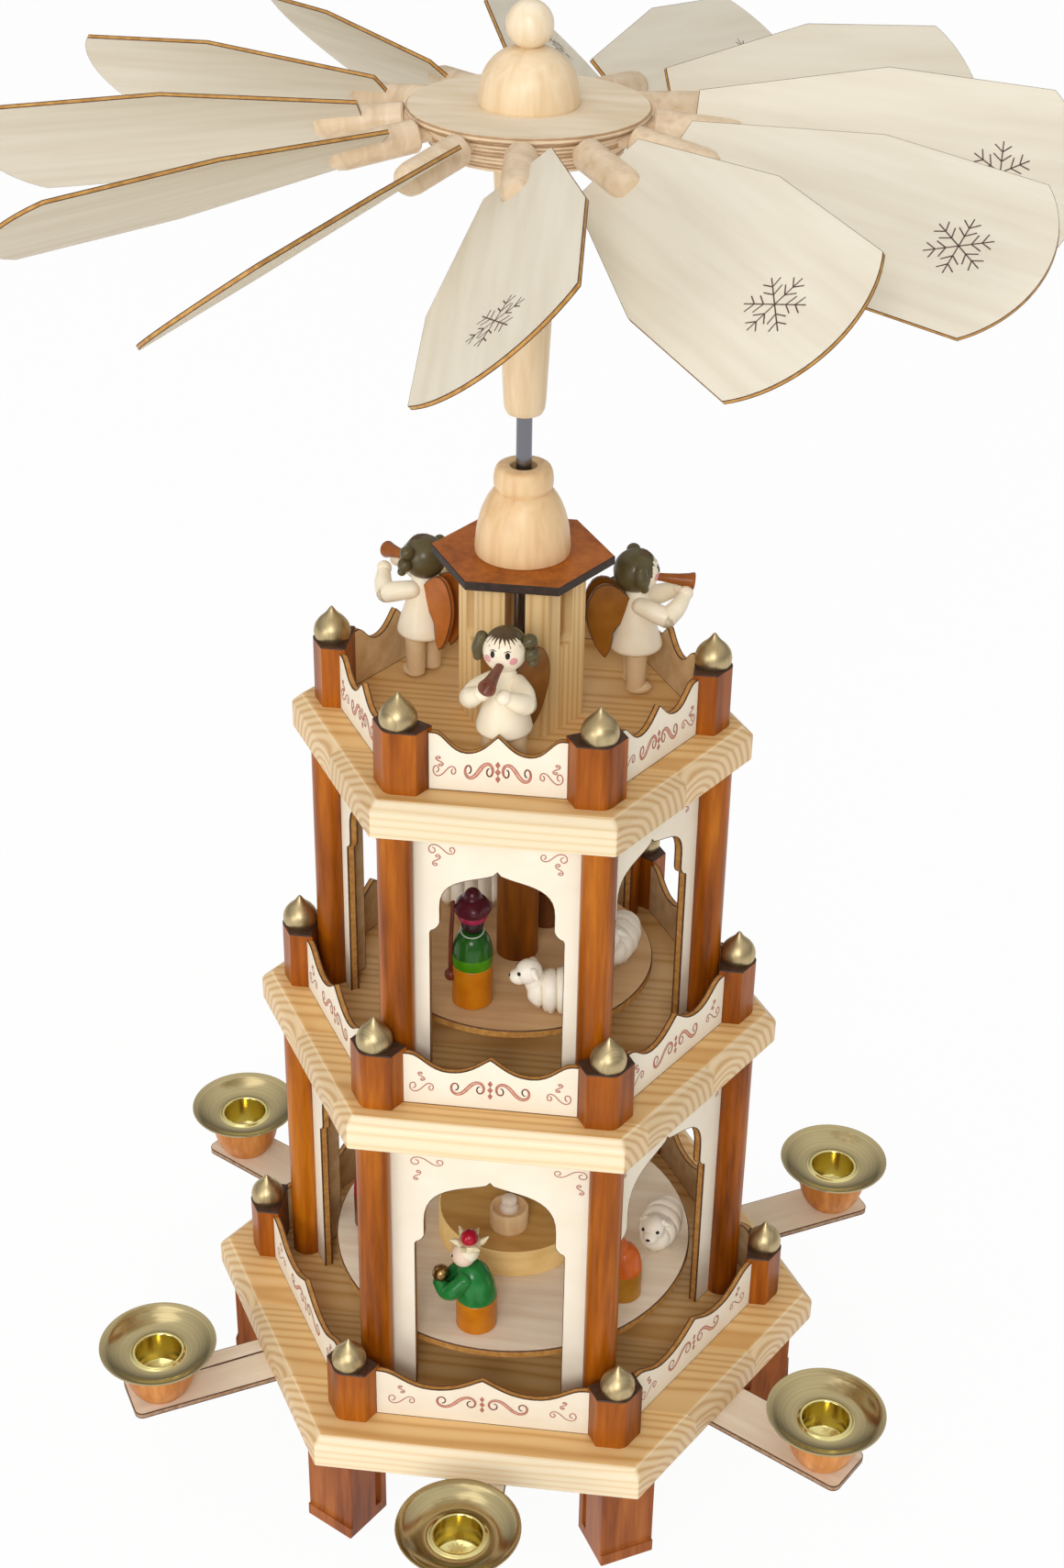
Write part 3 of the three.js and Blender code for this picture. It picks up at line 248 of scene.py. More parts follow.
def stacked(rows, kinds):
    """A solid through (outline, level) rows; kinds for its underside, each band of sides and its top."""
    count = len(rows[0][0])
    vertices = [(x, y, z) for line, z in rows for x, y in line]
    faces, numbers = [tuple(range(count - 1, -1, -1))], [kinds[0]]
    for row in range(len(rows) - 1):
        for i in range(count):
            a, b = row * count + i, row * count + (i + 1) % count
            faces.append((a, b, b + count, a + count))
            numbers.append(kinds[row + 1])
    faces.append(tuple(range((len(rows) - 1) * count, len(rows) * count)))
    return vertices, faces, numbers + [kinds[-1]]


def sawn_plate(outline, low, high, rim, back=0):
    """A flat piece between two levels: kind 0 its upper face, 1 the scorched rims, 2 the toasted edge."""
    small = inset(outline, rim)
    ply = (high - low) / 5
    rows = [(small, low), (outline, low), (outline, low + ply), (outline, high - ply), (outline, high),
            (small, high)]
    return stacked(rows, (back, 1, 1, 2, 1, 1, 0))


def spin(degrees):
    return Matrix.Rotation(math.radians(degrees), 4, "Z")


def arc(cx, cy, r, start, end, steps):
    angles = [math.radians(start + (end - start) * i / steps) for i in range(steps + 1)]
    return [(cx + r * math.cos(a), cy + r * math.sin(a)) for a in angles]


def strokes(lines, width, lift, swell=0.0):
    """Flat painted lines, each wider in its middle by swell."""
    vertices, faces = [], []
    for line in lines:
        base = len(vertices)
        for i, point in enumerate(line):
            before, after = Vector(line[max(0, i - 1)]), Vector(line[min(len(line) - 1, i + 1)])
            way = (after - before).normalized()
            reach = (width + swell * math.sin(math.pi * i / (len(line) - 1)) ** 2) / 2
            side = Vector((-way.y, way.x)) * (reach * (0.55 if i in (0, len(line) - 1) else 1.0))
            for sign in (-1, 1):
                vertices.append((point[0] + sign * side.x, point[1] + sign * side.y, lift))
        for i in range(len(line) - 1):
            a = base + 2 * i
            faces.append((a, a + 2, a + 3, a + 1))
    return vertices, faces, [0] * len(faces)


arm_face = plywood_face("arm_plywood", "#F2E2CC", "#E4D0B4", (20, 260, 260))
scorched = mottled("scorched_edge", [(0.3, "#3A2212"), (0.7, "#6B4220")], 900, {"Roughness": 0.7})
toasted = mottled("toasted_edge", [(0.3, "#A8702F"), (0.7, "#C8934C")], 500, {"Roughness": 0.65})
arm_toasted = mottled("arm_edge", [(0.3, "#8F6B4A"), (0.7, "#B8977A")], 500, {"Roughness": 0.65})
half = ARM_WIDTH / 2
arm_outline = [(ARM_START, -half)] + arc(ARM_END - 3, -half + 3, 3, -90, 0, 6)
arm_outline += arc(ARM_END - 3, half - 3, 3, 0, 90, 6) + [(ARM_START, half)]
for i in range(6):
    make("candle_arm_strip_%d" % (i + 1),
         sawn_plate(arm_outline, ARM_TOP - ARM_THICKNESS, ARM_TOP, SCORCH_RIM),
         (arm_face, scorched, arm_toasted), "stand", "plywood", ("candle_arm_%d" % (i + 1),),
         matrix=spin(60 * i - 90))

# one arm has split along its grain, from the board to its cup
split = strokes([[(72, -3.9), (100, -3.7), (116, -3.4), (128, -3.2)]], 0.5, ARM_TOP + 0.04, 0.5)
make("candle_arm_split", split, (scorched,), "stand", "plywood", matrix=spin(210))

# The six cups on the arms' ends: turned from beech, 27 mm across at the rim and 17 mm at the foot,
# stained a warm brown and glued to the arm.
CUP_CIRCLE = 138.27
CUP_PROFILE = [(8.5, 0), (9.6, 1.4), (11.2, 4.2), (12.5, 8.0), (13.2, 12.0), (13.5, 15.3), (13.3, 16.2),
               (12.9, 16.5)]
CUP_WELL = [(9.4, 16.5), (9.2, 16.3), (9.2, 5.6), (0, 5.6)]
CUP_STOPS = [(0.0, "#A05C24"), (0.4, "#BC7432"), (0.7, "#D08A46"), (1.0, "#DE9E5C")]


def at(x, y, z):
    """A place given in millimetres."""
    return Matrix.Translation((x * MM, y * MM, z * MM))


def turned(profile, segments=48, ring=False):
    """A turned shape from (radius, height) pairs, up the outside."""
    vertices, rings = [], []
    for r, z in profile:
        if r < 1e-6:
            rings.append([len(vertices)])
            vertices.append((0.0, 0.0, z))
            continue
        rings.append(list(range(len(vertices), len(vertices) + segments)))
        vertices += [(r * math.cos(2 * math.pi * i / segments), r * math.sin(2 * math.pi * i / segments), z)
                     for i in range(segments)]
    faces = []
    for low, high in list(zip(rings, rings[1:])) + ([(rings[-1], rings[0])] if ring else []):
        for i in range(segments):
            j = (i + 1) % segments
            if len(low) == 1:
                faces.append((low[0], high[j], high[i]))
            elif len(high) == 1:
                faces.append((low[i], low[j], high[0]))
            else:
                faces.append((low[i], low[j], high[j], high[i]))
    return vertices, faces, [0] * len(faces)


def eased(points, steps=5):
    """A smooth line through the points."""
    line = []
    for i in range(len(points) - 1):
        a, b = Vector(points[i]), Vector(points[i + 1])
        before = Vector(points[i - 1]) if i else a - (b - a)
        after = Vector(points[i + 2]) if i + 2 < len(points) else b + (b - a)
        for k in range(steps):
            t = k / steps
            bend, twist = 2 * before - 5 * a + 4 * b - after, 3 * a - before - 3 * b + after
            line.append(tuple(0.5 * (2 * a + (b - before) * t + bend * t ** 2 + twist * t ** 3)))
    return line + [tuple(points[-1])]


cup_stain = stained_beech("cup_stain", CUP_STOPS, 0.4)
cup_shape = turned([(0, 0)] + eased(CUP_PROFILE, 3) + CUP_WELL)
for i in range(6):
    make("candle_cup_%d" % (i + 1), cup_shape, (cup_stain,), "stand", "stained_wood",
         ("candle_arm_%d" % (i + 1),), matrix=spin(60 * i - 90) @ at(CUP_CIRCLE, 0, ARM_TOP))

# The six drip pans: spun brass about 0.8 mm thick, 42 mm across, with a rising rim, a raised ring
# round the 16.3 mm candle socket, and the socket sunk into the cup.
PAN_FOOT = 41.2
PAN_SOCKET = [(0, 0), (8.6, 0), (8.95, 0.4), (8.95, 10.6), (9.6, 11.1)]
PAN_UNDER = [(11.5, 11.25), (14.5, 11.9), (18.0, 13.6), (20.8, 15.7)]
PAN_RIM = [(21.0, 16.0), (20.95, 16.35), (20.6, 16.4)]
PAN_OVER = [(18.0, 14.5), (14.5, 12.75), (11.8, 12.15), (10.2, 12.2)]
PAN_COLLAR = [(9.7, 12.35), (9.3, 12.75), (8.8, 12.95), (8.3, 12.8)]
PAN_BORE = [(8.15, 12.3), (8.15, 1.2), (7.8, 0.8), (0, 0.8)]


def spun_metal(name, stops, roughness, relief):
    material, shader = new_material(name, {"Metallic": 1.0, "Roughness": roughness})
    place = add_node(material, "TexCoord")["Object"]
    # the tool leaves rings about 0.6 mm apart and finer, which draw the highlights out round the axis
    parts = add_node(material, "SeparateXYZ", {}, {0: place})
    flat = add_node(material, "CombineXYZ", {}, {0: parts[0], 1: parts[1]})[0]
    radius = add_node(material, "VectorMath", {"operation": "LENGTH"}, {0: flat})["Value"]
    rings = add_node(material, "TexNoise", {"noise_dimensions": "1D", "Scale": 1800.0, "Detail": 2.0},
                     {"W": radius})[0]
    colour = add_node(material, "ValToRGB", {"stops": stops}, {0: rings})[0]
    feed(material, colour, shader, "Base Color")
    bump = add_node(material, "Bump", {"Strength": relief, "Distance": 0.0001}, {"Height": rings})[0]
    feed(material, bump, shader, "Normal")
    return material


def banded(profile, kinds, segments, ring=True):
    """A turned shape with a kind for each row of its faces."""
    vertices, faces, _ = turned(profile, segments, ring)
    return vertices, faces, [kind for kind in kinds for _ in range(segments)]


pan_brass = spun_metal("pan_brass", [(0.3, "#AE9D72"), (0.7, "#BAAA80")], 0.18, 0.01)
# the socket and the raised collar take a paler, yellower brass: partly the socket's own brass, partly a
# painted highlight on the collar and painted light in the bore
socket_brass_and_highlight = spun_metal("socket_brass_and_highlight", [(0.3, "#DCCD88"), (0.7, "#E6D898")], 0.14, 0.01)
pan_line = PAN_SOCKET + PAN_UNDER + PAN_RIM + PAN_OVER + PAN_COLLAR + PAN_BORE
collar_row = len(pan_line) - len(PAN_COLLAR) - len(PAN_BORE) - 1
pan_shape = banded(pan_line, [int(row >= collar_row) for row in range(len(pan_line) - 1)], 64, False)
for i in range(6):
    make("brass_pan_%d" % (i + 1), pan_shape, (pan_brass, socket_brass_and_highlight), "stand", "brass",
         ("drip_pan_%d" % (i + 1),), sharp=60, matrix=spin(60 * i - 90) @ at(CUP_CIRCLE, 0, PAN_FOOT))

# The arcades' round columns: six to a storey, 11.5 mm beech dowels, stained and varnished, doweled
# into the boards above and below.
COLUMN_RADIUS = 5.75
STOREYS = {"lower": (48.0, 116.1, 79.05), "upper": (176.4, 101.9, 65.0)}


def moved(shape, matrix):
    vertices, faces, kinds = shape
    return [tuple(matrix @ Vector(v)) for v in vertices], faces, kinds


def merged(shapes, kinds=None):
    """Several shapes as one; kinds gives each its own material number instead of its faces' own."""
    vertices, faces, numbers = [], [], []
    for order, (points, polygons, own) in enumerate(shapes):
        base = len(vertices)
        vertices += points
        faces += [tuple(base + i for i in polygon) for polygon in polygons]
        numbers += own if kinds is None else [kinds[order]] * len(polygons)
    return vertices, faces, numbers


def six_round(shape, circle, level):
    """The shape at the six corners of the pyramid."""
    return merged([moved(shape, spin(60 * i) @ Matrix.Translation((circle, 0, level))) for i in range(6)])


column_stain = stained_beech("column_stain", STAIN_STOPS, 0.3)
for storey, (level, height, circle) in STOREYS.items():
    line = [(0, 0), (5.45, 0), (COLUMN_RADIUS, 0.3), (COLUMN_RADIUS, height - 0.3), (5.45, height),
            (0, height)]
    make("%s_columns" % storey, six_round(turned(line), circle, level), (column_stain,), "stand",
         "stained_wood", ("%s_arcade" % storey,))

# The arch panels between the columns: 3 mm plywood, sprayed matt white outside, laser-cut to a
# pointed arch with notched shoulders, so that their edges are toasted brown.
PANEL_THICKNESS = 3.0
PANEL_SETBACK = 2.1
PANEL_TUCK = 0.6
ARCHES = {"lower": (7.85, 66.0, 95.8), "upper": (4.95, 59.5, 84.5)}
FLAT = math.cos(math.pi / 6)


def curve(a, b, c, d, steps):
    """Points on a curve from a to d, drawn towards b and c."""
    a, b, c, d = (Vector(point) for point in (a, b, c, d))
    return [tuple(a * (1 - t) ** 3 + b * 3 * t * (1 - t) ** 2 + c * 3 * t * t * (1 - t) + d * t ** 3)
            for t in [k / steps for k in range(steps + 1)]]


def upright(azimuth, distance, level):
    """The place, in millimetres, of a plate drawn in width and height whose outer side faces that azimuth."""
    turn = math.radians(azimuth)
    n, t = Vector((math.cos(turn), math.sin(turn), 0)), Vector((-math.sin(turn), math.cos(turn), 0))
    place = Matrix.Identity(4)
    for row in range(3):
        place[row][0], place[row][1], place[row][2] = t[row], (0, 0, 1)[row], n[row]
        place[row][3] = n[row] * (distance * MM) + (0, 0, level * MM)[row]
    return place


def arch_outline(half_width, leg, height, notch, peak):
    wide, throat, spring = half_width - leg, half_width - leg - 3.3, notch + 10.5
    opening = [(-half_width, 0), (-wide, 0), (-wide, notch)]
    opening += curve((-wide + 0.4, notch + 0.9), (-wide + 1.6, notch + 1.2), (-throat - 0.5, notch + 2.4),
                     (-throat, notch + 4.2), 4)
    opening += curve((-throat, spring), (-throat, peak - 3.6), (-throat * 0.42, peak - 4.4),
                     (-1.1, peak - 1.3), 12)
    mirrored = [(-x, y) for x, y in reversed(opening)]
    return opening + [(0, peak)] + mirrored + [(half_width, height), (-half_width, height)]


white_face = mottled("white_panel", [(0.35, "#EEE3CD"), (0.65, "#F2E9D6")], 60, {"Roughness": 0.6})
bare_face = plywood_face("bare_plywood", "#DCBE92", "#C9A677", (160, 160, 20))
for storey, (level, height, circle) in STOREYS.items():
    leg, notch, peak = ARCHES[storey]
    half_width = (circle - 2 * COLUMN_RADIUS) / 2 + PANEL_TUCK
    outline = arch_outline(half_width, leg + PANEL_TUCK, height, notch, peak)
    outer = circle * FLAT - PANEL_SETBACK
    for i in range(6):
        make("%s_arch_%d" % (storey, i + 1), sawn_plate(outline, -PANEL_THICKNESS, 0, SCORCH_RIM, 3),
             (white_face, scorched, toasted, bare_face), "stand", "white_wood", ("%s_arcade" % storey,),
             matrix=upright(60 * i - 90, outer, level))

# Painted ornament in the upper corners of each arch panel: a lying scroll, its outer curl the larger,
# with a small S under it, printed in a red-brown line about 0.4 mm wide.
INK_LIFT = 0.06
INK_WIDTH = 0.4
# for each storey: middle of the two sides, then place, length and height of the large scroll and
# place and height of the small one
ARCH_ORNAMENT = {"lower": (2.9, 24.4, 10.9, 102.9, 27.75, 96.6),
                 "upper": (0.1, 17.9, 8.3, 91.8, 19.6, 87.6)}


def scroll(length, height, lead=1.0, curl=2.15, steps=36):
    """A lying S with curled ends, its right half larger than its left by the factor lead."""
    half_line, x, y = [], 0.0, 0.0
    step = curl / steps
    for k in range(steps):
        s = (k + 0.5) * step
        x += math.cos(math.pi / 2 * s * s) * step
        y += math.sin(math.pi / 2 * s * s) * step
        half_line.append((x, y))
    points = [(-a, -b) for a, b in reversed(half_line)] + [(0.0, 0.0)]
    points += [(a * lead, b * lead) for a, b in half_line]
    points = [((a + b) / 1.41421, (b - a) / 1.41421) for a, b in points]
    left, right = min(a for a, b in points), max(a for a, b in points)
    low, high = min(b for a, b in points), max(b for a, b in points)
    return [((a - (left + right) / 2) / (right - left) * length,
             (b - (low + high) / 2) / (high - low) * height) for a, b in points]


def shifted(line, dx, dy, flip=1, turn=0.0, up=1):
    c, s = math.cos(math.radians(turn)), math.sin(math.radians(turn))
    return [(dx + flip * (x * c - y * s), dy + up * (x * s + y * c)) for x, y in line]


ink = mottled("red_brown_ink", [(0.35, "#A8604E"), (0.65, "#BC7A68")], 800, {"Roughness": 0.6})
for storey, (level, height, circle) in STOREYS.items():
    middle, out, wide, high, s_out, s_high = ARCH_ORNAMENT[storey]
    lines = []
    for side in (-1, 1):
        lines.append(shifted(scroll(wide, 3.5, 1.3), middle + side * out, high, side, 4, -1))
        lines.append(shifted(scroll(4.2, 1.9), middle + side * s_out, s_high, side, 78, -1))
    for i in range(6):
        make("%s_arch_ornament_%d" % (storey, i + 1), strokes(lines, INK_WIDTH, INK_LIFT), (ink,), "stand",
             "white_wood", matrix=upright(60 * i - 90, circle * FLAT - PANEL_SETBACK, level))

# Balustrade posts: beech blocks 22 mm high and 17.3 mm wide, planed to two flats that meet in a
# rounded outer corner, stained, and much darker on the end grain on top, where painted shade makes it nearly
# black.
POST_HEIGHT = 22.0
POST_WIDTH = 17.3
POST_BACK = -5.9
POST_BEND = 2.1
POST_ROUNDING = 2.3
POST_CHAMFER = 0.35
POSTS = {"lower": (48.0, 94.2), "middle": (176.4, 76.95), "upper": (290.6, 62.35)}
POST_STOPS = [(0.0, "#542306"), (0.35, "#88440A"), (0.65, "#A0540E"), (1.0, "#BC6C18")]

post_stain = stained_beech("post_stain", POST_STOPS, 0.36)
# the tops: end grain that takes the stain darker, with painted shade on it
post_end_and_shade = mottled("post_end_grain_and_shade", [(0.3, "#2E1A0E"), (0.7, "#4C2A14")], 500, {"Roughness": 0.55})
half = POST_WIDTH / 2
slope = math.tan(math.pi / 6)
tip = Vector((POST_BEND + half * slope, 0))
nose_start = (tip.x - POST_ROUNDING * slope, -POST_ROUNDING)
nose_end = (nose_start[0], POST_ROUNDING)
post_nose = curve(nose_start, Vector(nose_start).lerp(tip, 2 / 3), Vector(nose_end).lerp(tip, 2 / 3),
                  nose_end, 6)
post_outline = [(POST_BACK, half), (POST_BACK, -half), (POST_BEND, -half)] + post_nose + [(POST_BEND, half)]
post_rows = [(post_outline, 0), (post_outline, POST_HEIGHT - POST_CHAMFER),
             (inset(post_outline, POST_CHAMFER), POST_HEIGHT)]
post = stacked(post_rows, (0, 0, 1, 1))
for floor, (level, circle) in POSTS.items():
    make("%s_posts" % floor, six_round(post, circle, level), (post_stain, post_end_and_shade), "stand",
         "stained_wood", ("%s_balustrade" % floor,))

# The onion finials on the posts: turned beads 12 mm across and 13.6 mm high, drawn up to a point,
# gilt with a satin pale gold lacquer.
FINIAL = [(0, -2.3), (3.7, -2.3), (5.2, -0.9), (5.95, 1.2), (6.0, 3.0), (5.4, 4.9), (4.1, 6.7), (2.7, 8.0),
          (1.55, 9.3), (0.75, 10.5), (0, 11.3)]

gold = spun_metal("satin_gold", [(0.3, "#B9A479"), (0.7, "#C9B68C")], 0.42, 0.04)
bead = turned([FINIAL[0]] + eased(FINIAL[1:], 3), 32)
for floor, (level, circle) in POSTS.items():
    make("%s_finials" % floor, six_round(bead, circle, level + POST_HEIGHT), (gold,), "stand", "brass",
         ("%s_balustrade" % floor,), sharp=60)

# The rails between the posts: 2.2 mm plywood, 20.2 mm high with a wavy top, sprayed white outside
# and bare inside, with a printed spindle between two scrolled bands and a scroll in each corner.
RAIL_HEIGHT = 20.2
RAIL_DIP = 6.4
RAIL_THICKNESS = 2.2
RAIL_OFFSET = 0.9
RAIL_TUCK = 0.6
# for each floor: start, end and height of the bands; place, width and height of the corner
# scrolls; place and height of the small S over them
RAIL_ORNAMENT = {
    "lower": (2.4, 15.9, 9.1, 28.6, 9.1, 7.6, 28.6, 12.6),
    "middle": (2.1, 12.9, 8.0, 22.8, 7.8, 6.9, 22.8, 11.4),
    "upper": (1.6, 10.2, 7.8, 16.7, 7.0, 6.9, 18.2, 10.3),
}


def rail_outline(reach):
    end, low, top = reach - 2.0, RAIL_HEIGHT - RAIL_DIP, RAIL_HEIGHT
    wave = curve((0, top), (-end * 0.13, top - 2.2), (-end * 0.25, low), (-end * 0.5, low), 9)
    wave += curve((-end * 0.5, low), (-end * 0.75, low), (-end * 0.85, top), (-end, top), 8)[1:]
    right = [(-x, y) for x, y in reversed(wave)]
    return [(-reach, 0), (reach, 0), (reach, top)] + right[:-1] + wave + [(-reach, top)]


def beside(line, distance):
    """The line moved sideways, most in its middle and not at all at its ends."""
    points = []
    for i, (x, y) in enumerate(line):
        way = (Vector(line[min(len(line) - 1, i + 1)]) - Vector(line[max(0, i - 1)])).normalized()
        share = distance * math.sin(math.pi * i / (len(line) - 1)) ** 2
        points.append((x - way.y * share, y + way.x * share))
    return points


def rail_ornament(floor):
    start, end, middle, corner, wide, corner_high, s_out, s_high = RAIL_ORNAMENT[floor]
    lines, bands = [], []
    for side in (-1, 1):
        band = shifted(scroll(end - start, 5.6), side * (start + end) / 2, middle, side, 2)
        bands.append(band)
        lines += [beside(band, distance) for distance in (-0.5, 0.5)]
        lines.append(shifted(scroll(wide, 4.0, 1.3), side * corner, corner_high, side, 4))
        lines.append(shifted(scroll(3.4, 1.8), side * s_out, s_high, side, 78))
    leaves = []
    for wide, low, high in ((0.85, 1.1, 3.9), (1.0, -1.3, 1.3), (0.85, -3.9, -1.1)):
        points = ((0, low), (wide, (low + high) / 2), (0, high), (-wide, (low + high) / 2))
        leaves.append(([(x, middle + y, INK_LIFT) for x, y in points], [(0, 1, 2, 3)], [0]))
    print_parts = [strokes(bands, INK_WIDTH, INK_LIFT, 0.8), strokes(lines, INK_WIDTH, INK_LIFT + 0.03)]
    return merged(print_parts + leaves, [1, 0, 0, 0, 0])


pale_ink = mottled("pale_ink", [(0.35, "#D69C86"), (0.65, "#E0B09C")], 800, {"Roughness": 0.6})
for floor, (level, circle) in POSTS.items():
    outline = rail_outline(circle / 2 - POST_WIDTH / 2 / FLAT + RAIL_TUCK)
    drawing = rail_ornament(floor)
    for i in range(6):
        place = upright(60 * i - 90, circle * FLAT + RAIL_OFFSET, level)
        make("%s_rail_%d" % (floor, i + 1), sawn_plate(outline, -RAIL_THICKNESS, 0, SCORCH_RIM, 3),
             (white_face, scorched, toasted, bare_face), "stand", "white_wood", ("%s_balustrade" % floor,),
             matrix=place)
        make("%s_rail_ornament_%d" % (floor, i + 1), drawing, (ink, pale_ink), "stand", "white_wood",
             matrix=place)

# The tower: a hexagonal block of pine 41 mm across with upright grain, and a tall round-bottomed
# slot sawn into each side from the top.
TOWER_STAVE = 13.0
TOWER_ROUNDING = 0.35
TOWER_PINE = [(0.0, "#E8C890"), (0.6, "#E5C38A"), (0.88, "#DEB77A"), (1.0, "#D4A868")]

tower_pine = pine("tower_pine", 0.0, TOWER_STAVE, (0, math.pi / 2, 0), TOWER_PINE, TOWER_PINE, TOWER_PINE)
finish_node("tower", tower_pine, TOWER_ROUNDING)

# The tower's roof: a hexagon of 3 mm plywood, 59 mm over its corners, stained like the columns,
# with a scorched dark edge, glued on the tower.
ROOF_LEVEL = 345.4
ROOF_STOPS = [(0.0, "#84420E"), (0.35, "#A05612"), (0.65, "#AE6018"), (1.0, "#BA6E20")]

roof_stain = stained_beech("roof_stain", ROOF_STOPS, 0.42)
roof_edge = mottled("roof_edge", [(0.3, "#1E120A"), (0.7, "#3A2414")], 600, {"Roughness": 0.6})
roof_line = [(4.8, 0), (29.2, 0), (29.5, 0.25), (29.5, 2.75), (29.2, 3.0), (4.8, 3.0)]
make("roof_plate", banded(roof_line, (0, 1, 1, 1, 0, 0), 6), (roof_stain, roof_edge), "stand",
     "stained_wood", ("tower_roof",), sharp=20, matrix=at(0, 0, ROOF_LEVEL))

# The bell on the roof: turned in one piece with its collar from pale maple, 30.6 mm across, and
# bored for the shaft.
BELL_LEVEL = 348.4
BELL_PROFILE = [(15.2, 0.2), (15.3, 2.0), (15.05, 5.0), (14.5, 9.1), (13.2, 14.0), (11.4, 18.0),
                (9.6, 20.6), (8.7, 21.3)]
COLLAR_PROFILE = [(8.75, 21.4), (9.3, 22.6), (9.45, 24.6), (9.2, 27.0), (8.5, 28.6), (7.6, 29.2)]
BELL_BORE = [(4.6, 29.2), (4.25, 28.9)]
MAPLE_STOPS = [(0.25, "#D8AE7C"), (0.5, "#E4C090"), (0.75, "#ECCC9E")]


def turned_maple(name, stops):
    material, shader = new_material(name, {"Roughness": 0.42, "Coat Weight": 0.15, "Coat Roughness": 0.3})
    place = add_node(material, "TexCoord")["Object"]
    # close pale grain, 4 mm apart and finer, drawn out upright to 33 mm, under a thin soft varnish
    long = add_node(material, "Mapping", {"Scale": (260, 260, 30)}, {"Vector": place})[0]
    grain = add_node(material, "TexNoise", {"Scale": 1.0, "Detail": 3.0, "Distortion": 0.6},
                     {"Vector": long})[0]
    colour = add_node(material, "ValToRGB", {"stops": stops}, {0: grain})[0]
    feed(material, colour, shader, "Base Color")
    bump = add_node(material, "Bump", {"Strength": 0.08, "Distance": 0.0001}, {"Height": grain})[0]
    feed(material, bump, shader, "Normal")
    return material


maple = turned_maple("turned_maple", MAPLE_STOPS)
bell_line = [(4.25, 0), (14.9, 0)] + eased(BELL_PROFILE) + eased(COLLAR_PROFILE) + BELL_BORE
make("turned_bell", turned(bell_line, 64, True), (maple,), "stand", "turned_wood", ("bell",), sharp=40,
     matrix=at(0, 0, BELL_LEVEL))

# The shaft: a drawn steel rod 5 mm thick, pointed at its foot, from the bearing to the hub.
SHAFT = [(0, 50.3), (2.5, 53.3), (2.5, 489.0), (2.3, 489.2), (0, 489.2)]

steel = spun_metal("drawn_steel", [(0.3, "#5C5C62"), (0.7, "#85858C")], 0.22, 0.08)
make("steel_shaft", turned(SHAFT, 32), (steel,), "rotor", "steel", ("shaft",), sharp=25)

# The turntables: discs of 3.2 mm plywood, pale on top with a scorched edge, glued to the shaft. The upper
# one's top is coloured tan-brown: painted shade of the storey round it.
TABLES = {"lower": (64.2, 66.3), "upper": (190.8, 47.4)}
TABLE_TONES_AND_SHADE = {"lower": ("#EFE0CA", "#E2CDB2"), "upper": ("#D2AC80", "#C0986C")}

for storey, (level, radius) in TABLES.items():
    line = [(2.8, 0), (radius - 0.4, 0), (radius, 0.4), (radius, 2.8), (radius - 0.4, 3.2), (2.8, 3.2)]
    table_face_and_shade = plywood_face("%s_table_plywood" % storey, *TABLE_TONES_AND_SHADE[storey], (18, 210, 210))
    make("%s_table" % storey, banded(line, (0, 1, 2, 1, 0, 0), 96), (table_face_and_shade, scorched, toasted),
         "rotor", "plywood", ("%s_turntable" % storey,), matrix=at(0, 0, level))

# The pillar round the shaft on the upper turntable: a stained beech tube, 14.5 mm across.
PILLAR_STOPS = [(0.0, "#4C2604"), (0.35, "#703A06"), (0.65, "#864A0A"), (1.0, "#985810")]

pillar_stain = stained_beech("pillar_stain", PILLAR_STOPS, 0.4)
pillar = [(2.8, 194.0), (7.0, 194.0), (7.25, 194.3), (7.25, 275.0), (7.0, 275.3), (2.8, 275.3)]
make("pillar_tube", turned(pillar, 48, True), (pillar_stain,), "rotor", "stained_wood", ("upper_pillar",))

# The plinth on the lower turntable: a thick disc of light wood, 56 mm across and 11.5 mm high, with
# a turned crib cup near its front and a peg for the baby in it.
PLINTH_LEVEL = 67.4
PLINTH_HEIGHT = 11.5
CRIB_OFFSET = 13.0

plinth_wood = plywood_face("plinth_wood", "#F8D694", "#E6BE78", (30, 170, 170))
# the disc's top is coloured darker brown than its side: painted shadow of the board above
plinth_top_shaded = plywood_face("plinth_top_painted_shadow", "#D0A462", "#B8884A", (30, 170, 170))
plinth_line = [(2.8, 0), (27.7, 0), (28.0, 0.3), (28.0, 10.9), (27.4, PLINTH_HEIGHT), (2.8, PLINTH_HEIGHT)]
make("plinth_disc", banded(plinth_line, (0, 0, 0, 0, 1, 0), 72), (plinth_wood, plinth_top_shaded), "rotor",
     "turned_wood", ("crib_plinth",), matrix=at(0, 0, PLINTH_LEVEL))
crib_place = at(0, -CRIB_OFFSET, PLINTH_LEVEL + PLINTH_HEIGHT)
crib = [(0, 0), (6.2, 0), (6.9, 0.8), (7.1, 2.0), (6.85, 3.6), (7.1, 5.2), (7.1, 8.6), (6.8, 9.4),
        (6.1, 9.5), (5.7, 9.0), (5.5, 8.0), (0, 8.0)]
make("crib_cup", turned(crib, 40), (maple,), "rotor", "turned_wood", ("crib_plinth",), matrix=crib_place)
baby = [(0, 7.9), (3.4, 7.9), (3.3, 9.2), (2.6, 10.6), (2.9, 12.0), (2.6, 13.4), (1.5, 14.3), (0, 14.6)]
baby_paint = mottled("baby_paint", [(0.35, "#E4D2BC"), (0.65, "#F0E2D0")], 200, {"Roughness": 0.45})
make("crib_baby", turned([baby[0]] + eased(baby[1:], 3), 24), (baby_paint,), "rotor", "turned_wood",
     ("crib_plinth",), matrix=crib_place)

